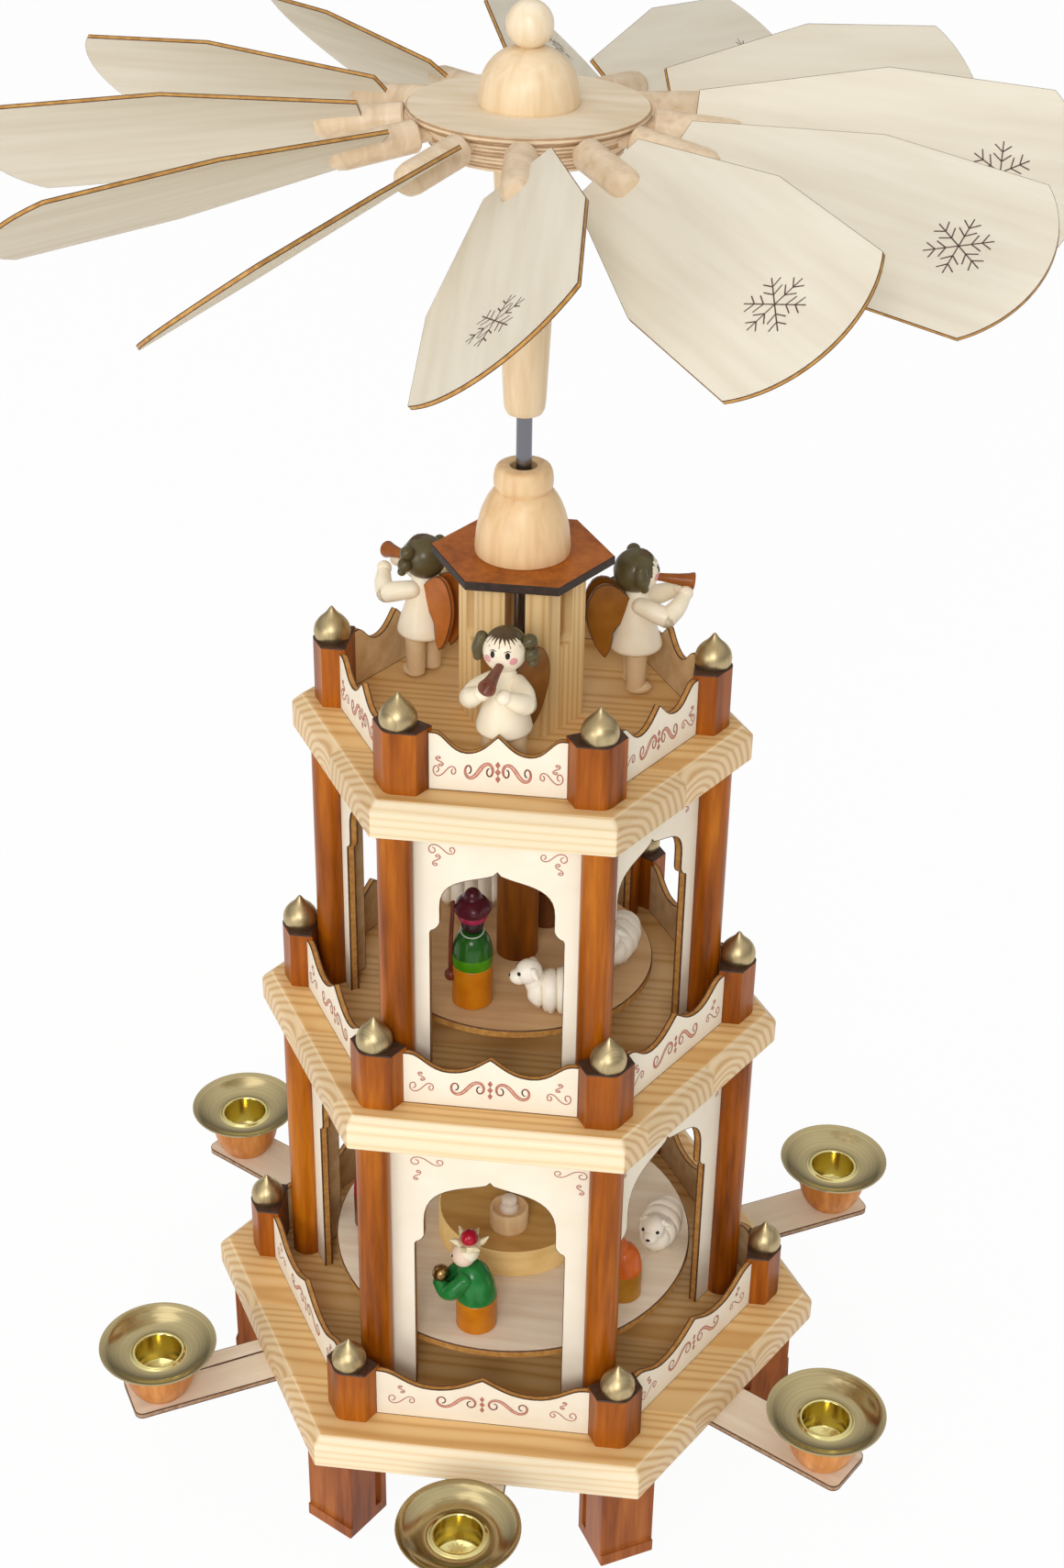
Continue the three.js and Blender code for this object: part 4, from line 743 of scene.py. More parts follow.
# The sleeve under the hub: turned from maple, widening from 13 mm at its rounded foot to 20.8 mm.
SLEEVE = [(2.8, 394.6), (4.4, 394.6), (5.6, 395.2), (6.3, 396.6), (6.6, 399.0), (8.4, 436.0), (10.4, 477.5),
          (2.8, 477.5)]

pale_maple = turned_maple("pale_maple", [(0.25, "#DEC094"), (0.5, "#E9CEA6"), (0.75, "#F0DAB6")])
make("turned_sleeve", turned(SLEEVE, 56, True), (pale_maple,), "rotor", "turned_wood", ("fan_hub",))

# The fan's hub: five plywood discs glued into steps, and a wider top disc 70.8 mm across. The
# plies show as pale and brown lines round the edge.
HUB_FOOT = 477.5
PLY_PAIR = 1.33


def ply_edge(name, pale, dark):
    # a sawn and sanded edge, dull, on which the plies show as level stripes
    material, shader = new_material(name, {"Roughness": 0.6})
    place = add_node(material, "TexCoord")["Object"]
    parts = add_node(material, "SeparateXYZ", {}, {0: place})
    # one dark and one pale ply in turn, up the edge
    turns = add_node(material, "Math", {"operation": "MULTIPLY", 1: 2 * math.pi / (PLY_PAIR * MM)},
                     {0: parts[2]})[0]
    wave = add_node(material, "Math", {"operation": "SINE"}, {0: turns})[0]
    noise = add_node(material, "TexNoise", {"Scale": 220.0, "Detail": 2.0}, {"Vector": place})[0]
    mixed = add_node(material, "Math", {"operation": "MULTIPLY_ADD", 1: 0.35}, {0: wave, 2: noise})[0]
    colour = add_node(material, "ValToRGB", {"stops": [(0.3, dark), (0.6, pale)]}, {0: mixed})[0]
    feed(material, colour, shader, "Base Color")
    return material


hub_edge = ply_edge("hub_plies", "#E3CBAA", "#B08C66")
hub_face = plywood_face("hub_face", "#EADBC2", "#DCC6A4", (28, 120, 120))
hub_rows = [((2.8, 0), 0)]
for layer in range(5):
    hub_rows += [((28 + 1.25 * layer, 2 * layer), 1), ((28 + 1.25 * layer, 2 * layer + 2), 1)]
hub_rows += [((35.0, 10), 1), ((35.4, 10.3), 1), ((35.4, 11.7), 1), ((35.0, 12), 0), ((2.8, 12), 0)]
hub = banded([point for point, _ in hub_rows], [kind for _, kind in hub_rows], 96)
make("hub_stack", hub, (hub_face, hub_edge), "rotor", "turned_wood", ("fan_hub",), sharp=25,
     matrix=at(0, 0, HUB_FOOT))

# The cap on the hub: a turned dome 29.4 mm across with a paler ball 13.8 mm across glued on top.
CAP_LEVEL = 489.5
DOME = [(14.5, 0), (14.7, 1.0), (14.5, 4.0), (13.3, 9.0), (10.5, 13.0), (6.6, 15.6), (3.2, 16.4)]
BALL_RADIUS = 6.9
BALL_LEVEL = 22.53

dome_line = [(0, 0)] + eased(DOME) + [(0, 16.4)]
make("cap_dome", turned(dome_line, 64), (pale_maple,), "rotor", "turned_wood", ("fan_cap",), sharp=40,
     matrix=at(0, 0, CAP_LEVEL))
palest_maple = turned_maple("palest_maple", [(0.25, "#E6CFA8"), (0.5, "#F0DDBE"), (0.75, "#F4E5CC")])
ball_line = [(BALL_RADIUS * math.sin(math.pi * k / 24), -BALL_RADIUS * math.cos(math.pi * k / 24))
             for k in range(25)]
ball_line[0], ball_line[-1] = (0, -BALL_RADIUS), (0, BALL_RADIUS)
make("cap_ball", turned(ball_line, 48), (palest_maple,), "rotor", "turned_wood", ("fan_cap",),
     matrix=at(0, 0, CAP_LEVEL + BALL_LEVEL))

# The pegs: twelve round-ended rods of maple, 9.5 mm thick, whose spigots turn stiffly in the hub.
VANE_AXIS = 488.4
FIRST_VANE = -116
VANE_DROOP = 6.26
VANE_SET = (36, 40, 39, 35, 55, 54, 39, 41, 42, 44, 41, 33)
PEG = [(0, 26.0), (2.5, 26.0), (2.5, 36.0), (4.3, 36.0), (4.75, 36.6), (4.75, 58.2), (4.3, 60.6),
       (3.1, 62.3), (0, 63.0)]

peg_wood = turned_maple("peg_maple", [(0.25, "#CDB08C"), (0.5, "#DCC3A2"), (0.75, "#E5D0B2")])
peg_shape = moved(turned(PEG, 32), Matrix.Rotation(math.pi / 2, 4, "Y"))
vane_places = []
for i in range(12):
    place = at(0, 0, VANE_AXIS) @ spin(30 * i + FIRST_VANE)
    place = place @ Matrix.Rotation(math.radians(VANE_DROOP), 4, "Y")
    vane_places.append(place @ Matrix.Rotation(math.radians(VANE_SET[i]), 4, "X"))
    make("vane_peg_%02d" % (i + 1), peg_shape, (peg_wood,), "fan_blade_%02d" % (i + 1), "turned_wood",
         ("vane_%02d" % (i + 1),), matrix=vane_places[i])

# The vanes: blades of 1.3 mm birch plywood, 53 mm wide, glued into the slotted pegs, with laser-cut
# scorched edges and a snowflake burnt into the upper face.
VANE_THICKNESS = 1.3
VANE_RIM = 0.12
VANE_TIP = 162
VANE_HALF_WIDTH = 26.5
VANE_FOOT_HALF = 12
VANE_WIDEST = 101.5
VANE_SHOULDER = 150
FLAKE_CENTRE = 137.0
FLAKE_RADIUS = 9.35
FLAKE_WIDTH = 0.7

vane_face = plywood_face("vane_plywood", "#E4DCCA", "#DCD2BE", (16, 220, 220))
vane_toast = mottled("vane_edge", [(0.3, "#A97430"), (0.7, "#CB9B50")], 400, {"Roughness": 0.6})
flake_ink = mottled("burnt_snowflake", [(0.3, "#4E3630"), (0.7, "#6A4E44")], 900, {"Roughness": 0.7})
tip_depth = VANE_TIP - VANE_SHOULDER
tip_radius = (VANE_HALF_WIDTH ** 2 + tip_depth ** 2) / (2 * tip_depth)
spread = math.degrees(math.asin(VANE_HALF_WIDTH / tip_radius))
blade_outline = [(48, VANE_FOOT_HALF), (48, -VANE_FOOT_HALF), (VANE_WIDEST, -VANE_HALF_WIDTH)]
blade_outline.append((VANE_SHOULDER, -VANE_HALF_WIDTH))
blade_outline += arc(VANE_TIP - tip_radius, 0, tip_radius, -spread, spread, 24)[1:]
blade_outline.append((VANE_WIDEST, VANE_HALF_WIDTH))
blade = sawn_plate(blade_outline, -VANE_THICKNESS / 2, VANE_THICKNESS / 2, VANE_RIM)
flake_lines = []
for k in range(6):
    arm = [[(0, 0), (FLAKE_RADIUS, 0)]]
    for start, length in ((0.36, 0.36), (0.66, 0.34)):
        for sign in (-1, 1):
            end = ((start + length * 0.64) * FLAKE_RADIUS, sign * length * 0.77 * FLAKE_RADIUS)
            arm.append([(start * FLAKE_RADIUS, 0), end])
    flake_lines += [shifted(line, 0, 0, 1, 60 * k + 30) for line in arm]
flake_lines = [[(x + FLAKE_CENTRE, y) for x, y in line] for line in flake_lines]
flake = strokes(flake_lines, FLAKE_WIDTH, VANE_THICKNESS / 2 + INK_LIFT)
for i in range(12):
    body = "fan_blade_%02d" % (i + 1)
    make("vane_blade_%02d" % (i + 1), blade, (vane_face, scorched, vane_toast),
         body, "plywood", ("vane_%02d" % (i + 1),), matrix=vane_places[i])
    make("vane_snowflake_%02d" % (i + 1), flake, (flake_ink,), body, "plywood", matrix=vane_places[i])

# The three trumpet angels on the upper board: turned and carved limewood, 51 mm tall, in cream
# paint with olive-brown hair, leaf-shaped stained wings and a brown trumpet.
ANGEL_CIRCLE = 41.0
ANGEL_TURNS = (-6, -16, -6)
WING_SWEEPS = (55, 84, 84)
WING_THICKNESS = 1.6
ANGEL_DRESS = [(0, 15.6), (8.1, 15.6), (8.75, 16.2), (8.85, 17.4), (7.7, 21.5), (6.4, 25.5), (5.1, 30.0),
               (4.1, 34.2), (3.2, 37.0), (2.6, 38.5), (0, 38.8)]


def orb(radius, centre, stretch=(1, 1, 1), segments=28):
    line = [(math.sin(math.pi * k / 18), -math.cos(math.pi * k / 18)) for k in range(19)]
    line[0], line[-1] = (0, -1), (0, 1)
    return moved(turned(line, segments), Matrix.Translation(centre)
                 @ Matrix.Diagonal((radius * stretch[0], radius * stretch[1], radius * stretch[2], 1)))


def limb(points, radii, segments=16):
    """A round limb through the points, with a radius at each and closed round ends."""
    path = [Vector(p) for p in eased(points, 6)]
    sizes = [v[0] for v in eased([(r, 0) for r in radii], 6)]
    vertices, faces = [], []
    for i, point in enumerate(path):
        way = (path[min(i + 1, len(path) - 1)] - path[max(i - 1, 0)]).normalized()
        side = way.cross(Vector((0, 0, 1)) if abs(way.z) < 0.9 else Vector((1, 0, 0))).normalized()
        up = side.cross(way)
        for k in range(segments):
            a = 2 * math.pi * k / segments
            vertices.append(tuple(point + (side * math.cos(a) + up * math.sin(a)) * sizes[i]))
    for i in range(len(path) - 1):
        a, b = i * segments, (i + 1) * segments
        for k in range(segments):
            m = (k + 1) % segments
            faces.append((a + k, b + k, b + m, a + m))
    faces.append(tuple(range(segments)))
    faces.append(tuple(reversed(range((len(path) - 1) * segments, len(path) * segments))))
    shape = (vertices, faces, [0] * len(faces))
    return merged([shape, orb(sizes[0] * 0.99, path[0], segments=16),
                   orb(sizes[-1] * 0.99, path[-1], segments=16)])


def gloss_paint(name, dark, light, roughness=0.3, scale=160):
    # brushed paint under a clear coat: an even colour with small, sharp highlights
    return mottled(name, [(0.3, dark), (0.7, light)], scale,
                   {"Roughness": roughness, "Specular IOR Level": 0.3, "Coat Weight": 0.12,
                    "Coat Roughness": 0.1})


cream = gloss_paint("cream_paint", "#F0E2C4", "#F6EAD2", 0.38)
bare_leg = gloss_paint("leg_paint", "#DCBE92", "#E4CAA4", 0.42)
skin = gloss_paint("skin_paint", "#F0E0C4", "#F5E8D2", 0.36)
hair_paint = gloss_paint("hair_paint", "#4E4428", "#5E5436", 0.34)
fringe_paint = gloss_paint("fringe_paint", "#44341C", "#5A462A", 0.4)
eye_paint = gloss_paint("eye_paint", "#120E0C", "#241C18", 0.25)
cheek_paint = gloss_paint("cheek_paint", "#DC8E94", "#E4A4A4", 0.45)
# one stain in three tones, as painted light and shade: darkest on the shaded front angel, lightest on the
# left rear one
wing_tones_lit_and_shaded = (("#7A4A18", "#8C5A22"), ("#84500E", "#9A601A"), ("#A85C1E", "#BC6C2A"))
wing_stains_lit_and_shaded = [gloss_paint("wing_stain_%d" % (i + 1), *wing_tones_lit_and_shaded[i], 0.4) for i in range(3)]
horn_tones = (("#6A3826", "#7C4632"), ("#84440E", "#9A5618"), ("#84440E", "#9A5618"))
trumpet_stains = [gloss_paint("trumpet_stain_%d" % (i + 1), *horn_tones[i], 0.38) for i in range(3)]


def leaf_wing(side, sweep):
    """A carved leaf 1.6 mm thick that stands on edge and is swept back by that angle."""
    outline = [(0, 33.4)]
    for pull, end in (((7.8, 43.6), (12.6, 38.8)), ((17.4, 32.3), (13.8, 22.6)),
                      ((12.0, 16.6), (8.7, 13.4)), ((6.3, 16.1), (6.3, 22.0)), ((4.5, 25.8), (0, 28.5))):
        start = Vector(outline[-1])
        outline += [tuple(start * (1 - t) ** 2 + Vector(pull) * 2 * t * (1 - t) + Vector(end) * t * t)
                    for t in [k / 7 for k in range(1, 8)]]
    stand_up = Matrix.Rotation(math.pi / 2, 4, "X")
    shape = moved(sawn_plate(outline[::-1], -WING_THICKNESS / 2, WING_THICKNESS / 2, 0.25),
                  Matrix.Translation((1.8, 2, 0)) @ spin(sweep) @ stand_up)
    if side > 0:
        return shape
    vertices, faces, kinds = shape
    return [(-x, y, z) for x, y, z in vertices], [tuple(reversed(f)) for f in faces], kinds


def on_ball(radius, centre, azimuth, lift):
    """A point on a ball's surface, by its azimuth from -Y towards +X and its height, in degrees."""
    a, b = math.radians(azimuth), math.radians(lift)
    way = Vector((math.sin(a) * math.cos(b), -math.cos(a) * math.cos(b), math.sin(b)))
    return Vector(centre) + radius * way


def spot(radius, centre, azimuth, lift, wide, high, thick=0.25):
    """A small painted spot, slightly raised, on a ball."""
    point = on_ball(radius, centre, azimuth, lift)
    turn = Matrix.Rotation(math.radians(azimuth), 4, "Z") @ Matrix.Rotation(math.radians(-lift), 4, "X")
    return moved(orb(1, (0, 0, 0), (wide, thick, high), 16), Matrix.Translation(point) @ turn)


def painted_line(radius, centre, places, widths):
    """A raised brush stroke over a ball, through places given as azimuth and height."""
    return limb([tuple(on_ball(radius, centre, a, b)) for a, b in places], widths, 8)


def figure(name, body, place, pieces):
    """The pieces of a figure: part, shape, paint, slot and, if not the usual, the angle kept sharp."""
    for part, shape, paint, slot, *sharp in pieces:
        make("%s_%s" % (name, part), shape, (paint,), body, slot, (name,), *sharp, matrix=place)


# the fringe's strokes: azimuth of each, and the height at which it ends
FRINGE = ((-104, 12), (-90, 20), (-74, 28), (-58, 34), (-42, 28), (-26, 38), (-8, 30), (10, 40), (26, 30),
          (42, 38), (58, 28), (74, 30), (90, 20), (106, 12))
dress = turned([ANGEL_DRESS[0], ANGEL_DRESS[1]] + eased(ANGEL_DRESS[2:10], 4) + [ANGEL_DRESS[10]], 40)
legs, sleeves = [], []
for side in (-1, 1):
    legs.append(limb([(side * 3.8, 0, 3.2), (side * 3.8, 0, 8), (side * 3.8, 0, 17.5)], [3.2, 3.4, 3.8]))
    legs.append(orb(3.3, (side * 3.8, -1.2, 2.1), (1.0, 1.35, 0.64)))
    shoulder = [(side * 4.2, -0.5, 32.4), (side * 7.2, -4.6, 31.4), (side * 8.8, -8.6, 30.0)]
    sleeves.append(limb(shoulder, [3.0, 3.3, 3.4]))
sleeves.append(limb([(8.8, -8.6, 30.0), (6.9, -11.9, 32.0), (4.4, -14.2, 34.2)], [3.4, 3.0, 2.3]))
sleeves.append(limb([(-8.8, -8.6, 30.0), (-6.9, -12.2, 32.6), (-4.2, -14.8, 35.0)], [3.4, 3.0, 2.3]))
head = (0, -0.2, 43.2)
hands = [orb(2.5, (3.4, -15.0, 35.0)), orb(2.5, (-3.2, -15.6, 36.0))]
# brush strokes that fan out from the crown and taper over the forehead
fringe = [painted_line(6.75, head, [(a * 0.8, 84), (a * 0.95, 64), (a * 1.05 + 4, end)], [0.95, 0.62, 0.13])
          for a, end in FRINGE]
eyes = [spot(6.8, head, a, 12, 0.75, 1.1) for a in (-21, 21)]
eyes += [painted_line(6.85, head, [(a - 10, 20), (a, 24), (a + 10, 22)], [0.08, 0.16, 0.08])
         for a in (-21, 21)]
cheeks = [spot(6.75, head, a, -5, 1.35, 1.25, 0.16) for a in (-37, 37)]
locks = [limb([(-7.4, 0.4, 46.6), (-8.2, 0, 43.2), (-8.4, -0.8, 40.6)], [2.0, 2.3, 1.5]),
         orb(2.4, (7.7, 0.4, 47.0)), orb(2.5, (8.3, 0, 42.8)), orb(1.5, (9.0, -0.8, 40.4))]
horn = [(0, 0), (1.0, 0), (1.4, 0.5), (1.3, 1.4), (1.5, 4.0), (1.9, 8.0), (2.4, 11.0), (2.9, 12.8),
        (2.8, 13.2), (2.1, 13.0), (1.2, 11.4), (0, 10.8)]
aim = Vector((-1.2, -13.1, -1.8)).normalized().to_track_quat("Z", "Y").to_matrix().to_4x4()
trumpet = moved(turned(horn, 24), Matrix.Translation((0, -5.5, 41.0)) @ aim)
for i in range(3):
    name = "angel_%d" % (i + 1)
    place = spin(120 * i) @ at(0, -ANGEL_CIRCLE, BOARD_LEVELS["upper_board"]) @ spin(ANGEL_TURNS[i])
    # the front angel wears the hair a little closer and further back
    scalp = orb(7.0, (0, 1.15, 43.4)) if i == 0 else orb(7.35, (0, 0.8, 43.4))
    figure(name, "stand", place, [
        ("legs", merged(legs), bare_leg, "ivory_paint", 50),
        ("dress", merged([dress] + sleeves), cream, "ivory_paint", 50),
        ("head", merged([orb(6.8, head)] + hands), skin, "ivory_paint"),
        ("hair", merged([scalp] + locks), hair_paint, "ivory_paint"),
        ("fringe", merged(fringe), fringe_paint, "ivory_paint"),
        ("eyes", merged(eyes), eye_paint, "ivory_paint"),
        ("cheeks", merged(cheeks), cheek_paint, "ivory_paint"),
    ])
    wings = merged([leaf_wing(side, WING_SWEEPS[i]) for side in (1, -1)])
    make(name + "_wings", wings, (wing_stains_lit_and_shaded[i], scorched, wing_stains_lit_and_shaded[i]), "stand", "stained_wood",
         (name,), matrix=place)
    figure(name, "stand", place, [("trumpet", trumpet, trumpet_stains[i], "stained_wood", 50)])

# The king on the upper turntable: a turned body 13.8 mm across in an orange skirt and a bottle
# green coat, with a dark face, a crimson hat with a band, a staff and a small gift.
UPPER_KING_AT = (-11.29, -31.01)
UPPER_STAGE = 194.0

orange_paint = gloss_paint("orange_paint", "#B86604", "#C87A0A", 0.34)
green_paint = gloss_paint("green_paint", "#1A4C12", "#28601C", 0.22)
robe_green = gloss_paint("robe_green_paint", "#14662A", "#23803A", 0.24)
green_low = gloss_paint("fresh_green_paint", "#3A780C", "#4E8E12", 0.24)
dark_skin = gloss_paint("dark_skin_paint", "#22100F", "#321A18", 0.35)
hat_paint = gloss_paint("crimson_paint", "#420C18", "#561424", 0.34)
band_paint = gloss_paint("hat_band_paint", "#8A1638", "#A3204A", 0.34)
silver_line = gloss_paint("silver_trim", "#9CAA98", "#B8C4B2", 0.3)
staff_stain = gloss_paint("staff_stain", "#5E2413", "#7A3520", 0.4)

skirt = [(0, 0), (6.5, 0), (6.85, 0.4), (6.9, 15.0), (6.7, 15.3), (0, 15.3)]
coat_low = [(0, 15.2), (6.75, 15.2), (6.95, 15.8), (6.95, 19.5), (0, 19.5)]
coat = [(6.95, 19.4), (6.75, 21.5), (6.2, 23.9), (5.2, 26.2), (3.9, 27.6), (2.9, 28.1)]
collar = [(3.9 * math.sin(a), -3.9 * math.cos(a), 28.6 - 1.1 * math.cos(a))
          for a in [math.radians(d) for d in range(-110, 111, 22)]]
hat = [(0, 35.4), (5.2, 35.4), (6.0, 37.0), (5.9, 39.0), (4.6, 40.6), (3.2, 41.6), (2.6, 43.2), (1.6, 44.4),
       (0, 44.8)]
vertices, faces, kinds = turned([hat[0]] + eased(hat[1:], 4), 40)
lobed = []
for x, y, z in vertices:
    lobe = 1 + 0.09 * math.cos(5 * math.atan2(y, x)) * max(0.0, 1 - abs(z - 38.0) / 3.2)
    lobed.append((x * lobe, y * lobe, z))
band = [(3.9, 33.0), (4.6, 33.2), (5.1, 34.4), (5.0, 35.6), (3.9, 35.6)]
staff = [(-7.2, -2, 10.0), (-7.0, -2, 25.0), (-6.2, -2, 40.0)]
figure("upper_king", "rotor", at(*UPPER_KING_AT, UPPER_STAGE), [
    ("skirt", turned(skirt, 40), orange_paint, "orange_paint"),
    ("coat_hem", turned(coat_low, 40), green_low, "green_paint"),
    ("coat", turned([(0, 19.4)] + eased(coat) + [(0, 28.1)], 40), green_paint, "green_paint"),
    ("face", orb(3.9, (0, 0, 31.4), (1, 1, 1.05)), dark_skin, "green_paint"),
    ("collar", limb(collar, [0.28] * 11, 8), silver_line, "green_paint"),
    ("hat", (lobed, faces, kinds), hat_paint, "crimson_paint"),
    ("band", turned(band, 40, True), band_paint, "crimson_paint"),
    ("staff", limb(staff, [0.75, 0.75, 0.75], 10), staff_stain, "stained_wood"),
    ("gift", orb(2.25, (-7.0, -2.0, 11.0)), staff_stain, "stained_wood"),
])

# The robed figure behind the pillar shows only at its edges: a dark red-brown robe 13.8 mm across,
# a pale face and a turban, turned from limewood and painted.
UPPER_GUEST_AT = (7.7, 21.14)

guest_paint = gloss_paint("guest_robe_paint", "#4E140E", "#66201A", 0.3)
guest_skirt_paint = gloss_paint("guest_skirt_paint", "#5A2E10", "#70401C", 0.38)
guest_skin = gloss_paint("guest_skin_paint", "#DDBE9E", "#E8CEB2", 0.36)
skirt = [(0, 0), (6.5, 0), (6.85, 0.4), (6.9, 14.4), (0, 14.4)]
robe = [(6.9, 14.3), (6.85, 17.0), (6.3, 20.8), (5.2, 24.2), (3.8, 26.4), (2.8, 27.0)]
turban = [(0, 32.5), (4.6, 32.5), (5.8, 34.4), (5.6, 37.4), (3.4, 39.0), (2.6, 41.8), (0, 42.9)]
face = (0, 0, 30.2)
figure("upper_guest", "rotor", at(*UPPER_GUEST_AT, UPPER_STAGE), [
    ("skirt", turned(skirt, 36), guest_skirt_paint, "crimson_paint"),
    ("robe", turned([(0, 14.3)] + eased(robe) + [(0, 27.0)], 36), guest_paint, "crimson_paint"),
    ("face", orb(3.9, face, (1, 1, 1.05)), guest_skin, "ivory_paint"),
    ("eyes", merged([spot(3.95, face, 70 + a, 6, 0.4, 0.5) for a in (-22, 22)]), eye_paint, "ivory_paint"),
    ("turban", turned([turban[0]] + eased(turban[1:], 3), 36), guest_paint, "crimson_paint"),
])

# The king on the lower turntable bows to the left: orange skirt 14.7 mm across, green coat, arms
# that reach forward with a golden ball, a pale face and a cream crown with a red ball in it.
LOWER_KING_AT = (-6.43, -52.41)
LOWER_STAGE = 67.4

ball_gold = spun_metal("gift_gold", [(0.3, "#8C6E42"), (0.7, "#B3935E")], 0.3, 0.05)
crown_paint = gloss_paint("crown_paint", "#DACBA2", "#E8DCB8", 0.35)
ruby = gloss_paint("ruby_paint", "#9C0C22", "#B81430", 0.18)
king_skin = gloss_paint("king_skin_paint", "#E3C6AE", "#EDD5C0", 0.36)
king_hair = gloss_paint("king_hair_paint", "#E2D8B4", "#EDE5CC", 0.4)

skirt = [(0, 0), (6.9, 0), (7.3, 0.4), (7.35, 12.6), (7.1, 12.9), (0, 12.9)]
coat = [(7.2, 12.8), (7.5, 14.0), (7.3, 17.5), (6.7, 21.0), (5.4, 24.4), (3.6, 26.6), (2.4, 27.3)]
lean = Matrix.Translation((1.2, 0, 0)) @ Matrix.Shear("XY", 4, (-0.10, 0))
coat_shapes = [moved(turned([(0, 12.8)] + eased(coat) + [(0, 27.3)], 40), lean)]
for side in (-1, 1):
    arm = [(-3.6, side * 4.6, 23.0), (-7.4, side * 5.2, 18.6), (-10.4, side * 3.6, 16.4),
           (-13.2, side * 1.6, 18.6)]
    coat_shapes.append(limb(arm, [3.0, 3.3, 3.0, 2.3]))
face = (-4.6, 0, 31.2)
crown_line = [(2.2, 35.0), (3.8, 35.0), (4.3, 36.6), (3.9, 37.8), (2.2, 37.8)]
crown = [moved(turned(crown_line, 32, True), Matrix.Translation((-2.6, 0, 0)))]
for k in range(6):
    a = math.radians(60 * k + 10)
    base = Vector((-2.6, 0, 36.2))
    out = Vector((math.cos(a), math.sin(a), 0))
    point = [tuple(base + out * 3.0), tuple(base + out * 4.8 + Vector((0, 0, 1.2))),
             tuple(base + out * 6.6 + Vector((0, 0, 1.9 if k % 2 else 3.0)))]
    crown.append(limb(point, [1.2, 1.15, 0.35], 8))
figure("lower_king", "rotor", at(*LOWER_KING_AT, LOWER_STAGE), [
    ("skirt", turned(skirt, 40), orange_paint, "orange_paint"),
    ("coat", merged(coat_shapes), robe_green, "green_paint", 50),
    ("face", merged([orb(4.35, face, (1, 1, 1.08)), orb(0.8, (-8.7, 0, 30.6))]), king_skin, "ivory_paint"),
    ("hair", orb(4.1, (-2.9, 0.2, 32.6), (0.95, 1.0, 0.98)), king_hair, "ivory_paint"),
    ("eyes", merged([spot(4.4, face, a, 8, 0.5, 0.65) for a in (-62, -118)]), eye_paint, "ivory_paint"),
    ("crown", merged(crown), crown_paint, "ivory_paint", 50),
    ("ruby", orb(3.1, (-2.6, 0, 39.0)), ruby, "crimson_paint"),
    ("ball", orb(3.2, (-12.6, -0.6, 21.9)), ball_gold, "brass"),
])

# The shepherd by the right-hand column: a stooping turned figure in an orange cloak and hood over
# a mustard skirt, 13.4 mm across.
SHEPHERD_AT = (44.1, -29.75)

mustard = gloss_paint("mustard_paint", "#9C6410", "#B27A1A", 0.36)
cloak = gloss_paint("cloak_paint", "#C0500E", "#D2691A", 0.34)
skirt = [(0, 0), (6.3, 0), (6.65, 0.4), (6.7, 11.6), (6.5, 11.9), (0, 11.9)]
cloak_line = [(0, 11.8), (6.7, 11.8), (6.6, 14.0), (5.8, 17.6), (4.4, 20.6), (2.6, 22.0), (0, 22.3)]
hood = [orb(4.6, (-5.0, 0, 26.6), (1, 1, 1.1)),
        limb([(-1.2, 0, 17.0), (-3.4, 0, 21.5), (-4.8, 0, 25.0)], [5.2, 4.6, 3.8])]
figure("shepherd", "rotor", at(*SHEPHERD_AT, LOWER_STAGE), [
    ("skirt", turned(skirt, 36), mustard, "orange_paint"),
    ("cloak", merged([turned(cloak_line, 36)] + hood), cloak, "orange_paint", 50),
    ("face", orb(3.9, (-6.2, 0, 26.2), (1, 0.9, 1.05)), king_skin, "ivory_paint"),
])

# The third robed figure stands behind the left-hand column: red coat, brown skirt, red cap.
RED_KING_AT = (-52.6, -4.6)

red_coat = gloss_paint("red_coat_paint", "#8E1220", "#A81A2C", 0.28)
brown_skirt = gloss_paint("brown_skirt_paint", "#5C3014", "#74421E", 0.38)
skirt = [(0, 0), (6.7, 0), (7.05, 0.4), (7.1, 13.8), (6.9, 14.1), (0, 14.1)]
coat = [(7.0, 14.0), (7.05, 16.5), (6.6, 20.4), (5.4, 25.0), (3.6, 27.4), (2.6, 28.0)]
cap = [(0, 33.8), (4.4, 33.8), (5.2, 35.4), (5.1, 38.4), (3.4, 40.6), (2.2, 43.2), (0, 43.9)]
figure("red_king", "rotor", at(*RED_KING_AT, LOWER_STAGE), [
    ("skirt", turned(skirt, 36), brown_skirt, "stained_wood"),
    ("coat", turned([(0, 14.0)] + eased(coat) + [(0, 28.0)], 36), red_coat, "crimson_paint"),
    ("face", orb(3.9, (0, 0, 31.4), (1, 1, 1.05)), king_skin, "ivory_paint"),
    ("cap", turned(cap, 36), red_coat, "crimson_paint"),
])

# The sheep: turned from limewood with ring grooves for the fleece, 24 mm long without the small
# head, flattened below, in off-white paint with painted dot eyes, and glued to the turntables.
SHEEP = {
    "lower_sheep": ((55.49, 0.97), 67.4, 78),
    "upper_sheep_1": ((19.61, -31.38), 194.0, 10),
    "upper_sheep_2": ((34.95, 1.83), 194.0, 78),
    "upper_sheep_3": ((-20.32, 26.0), 194.0, 10),
}
SHEEP_RADIUS = 7.6
SHEEP_HALF = 12.0
SHEEP_RIBS = 5

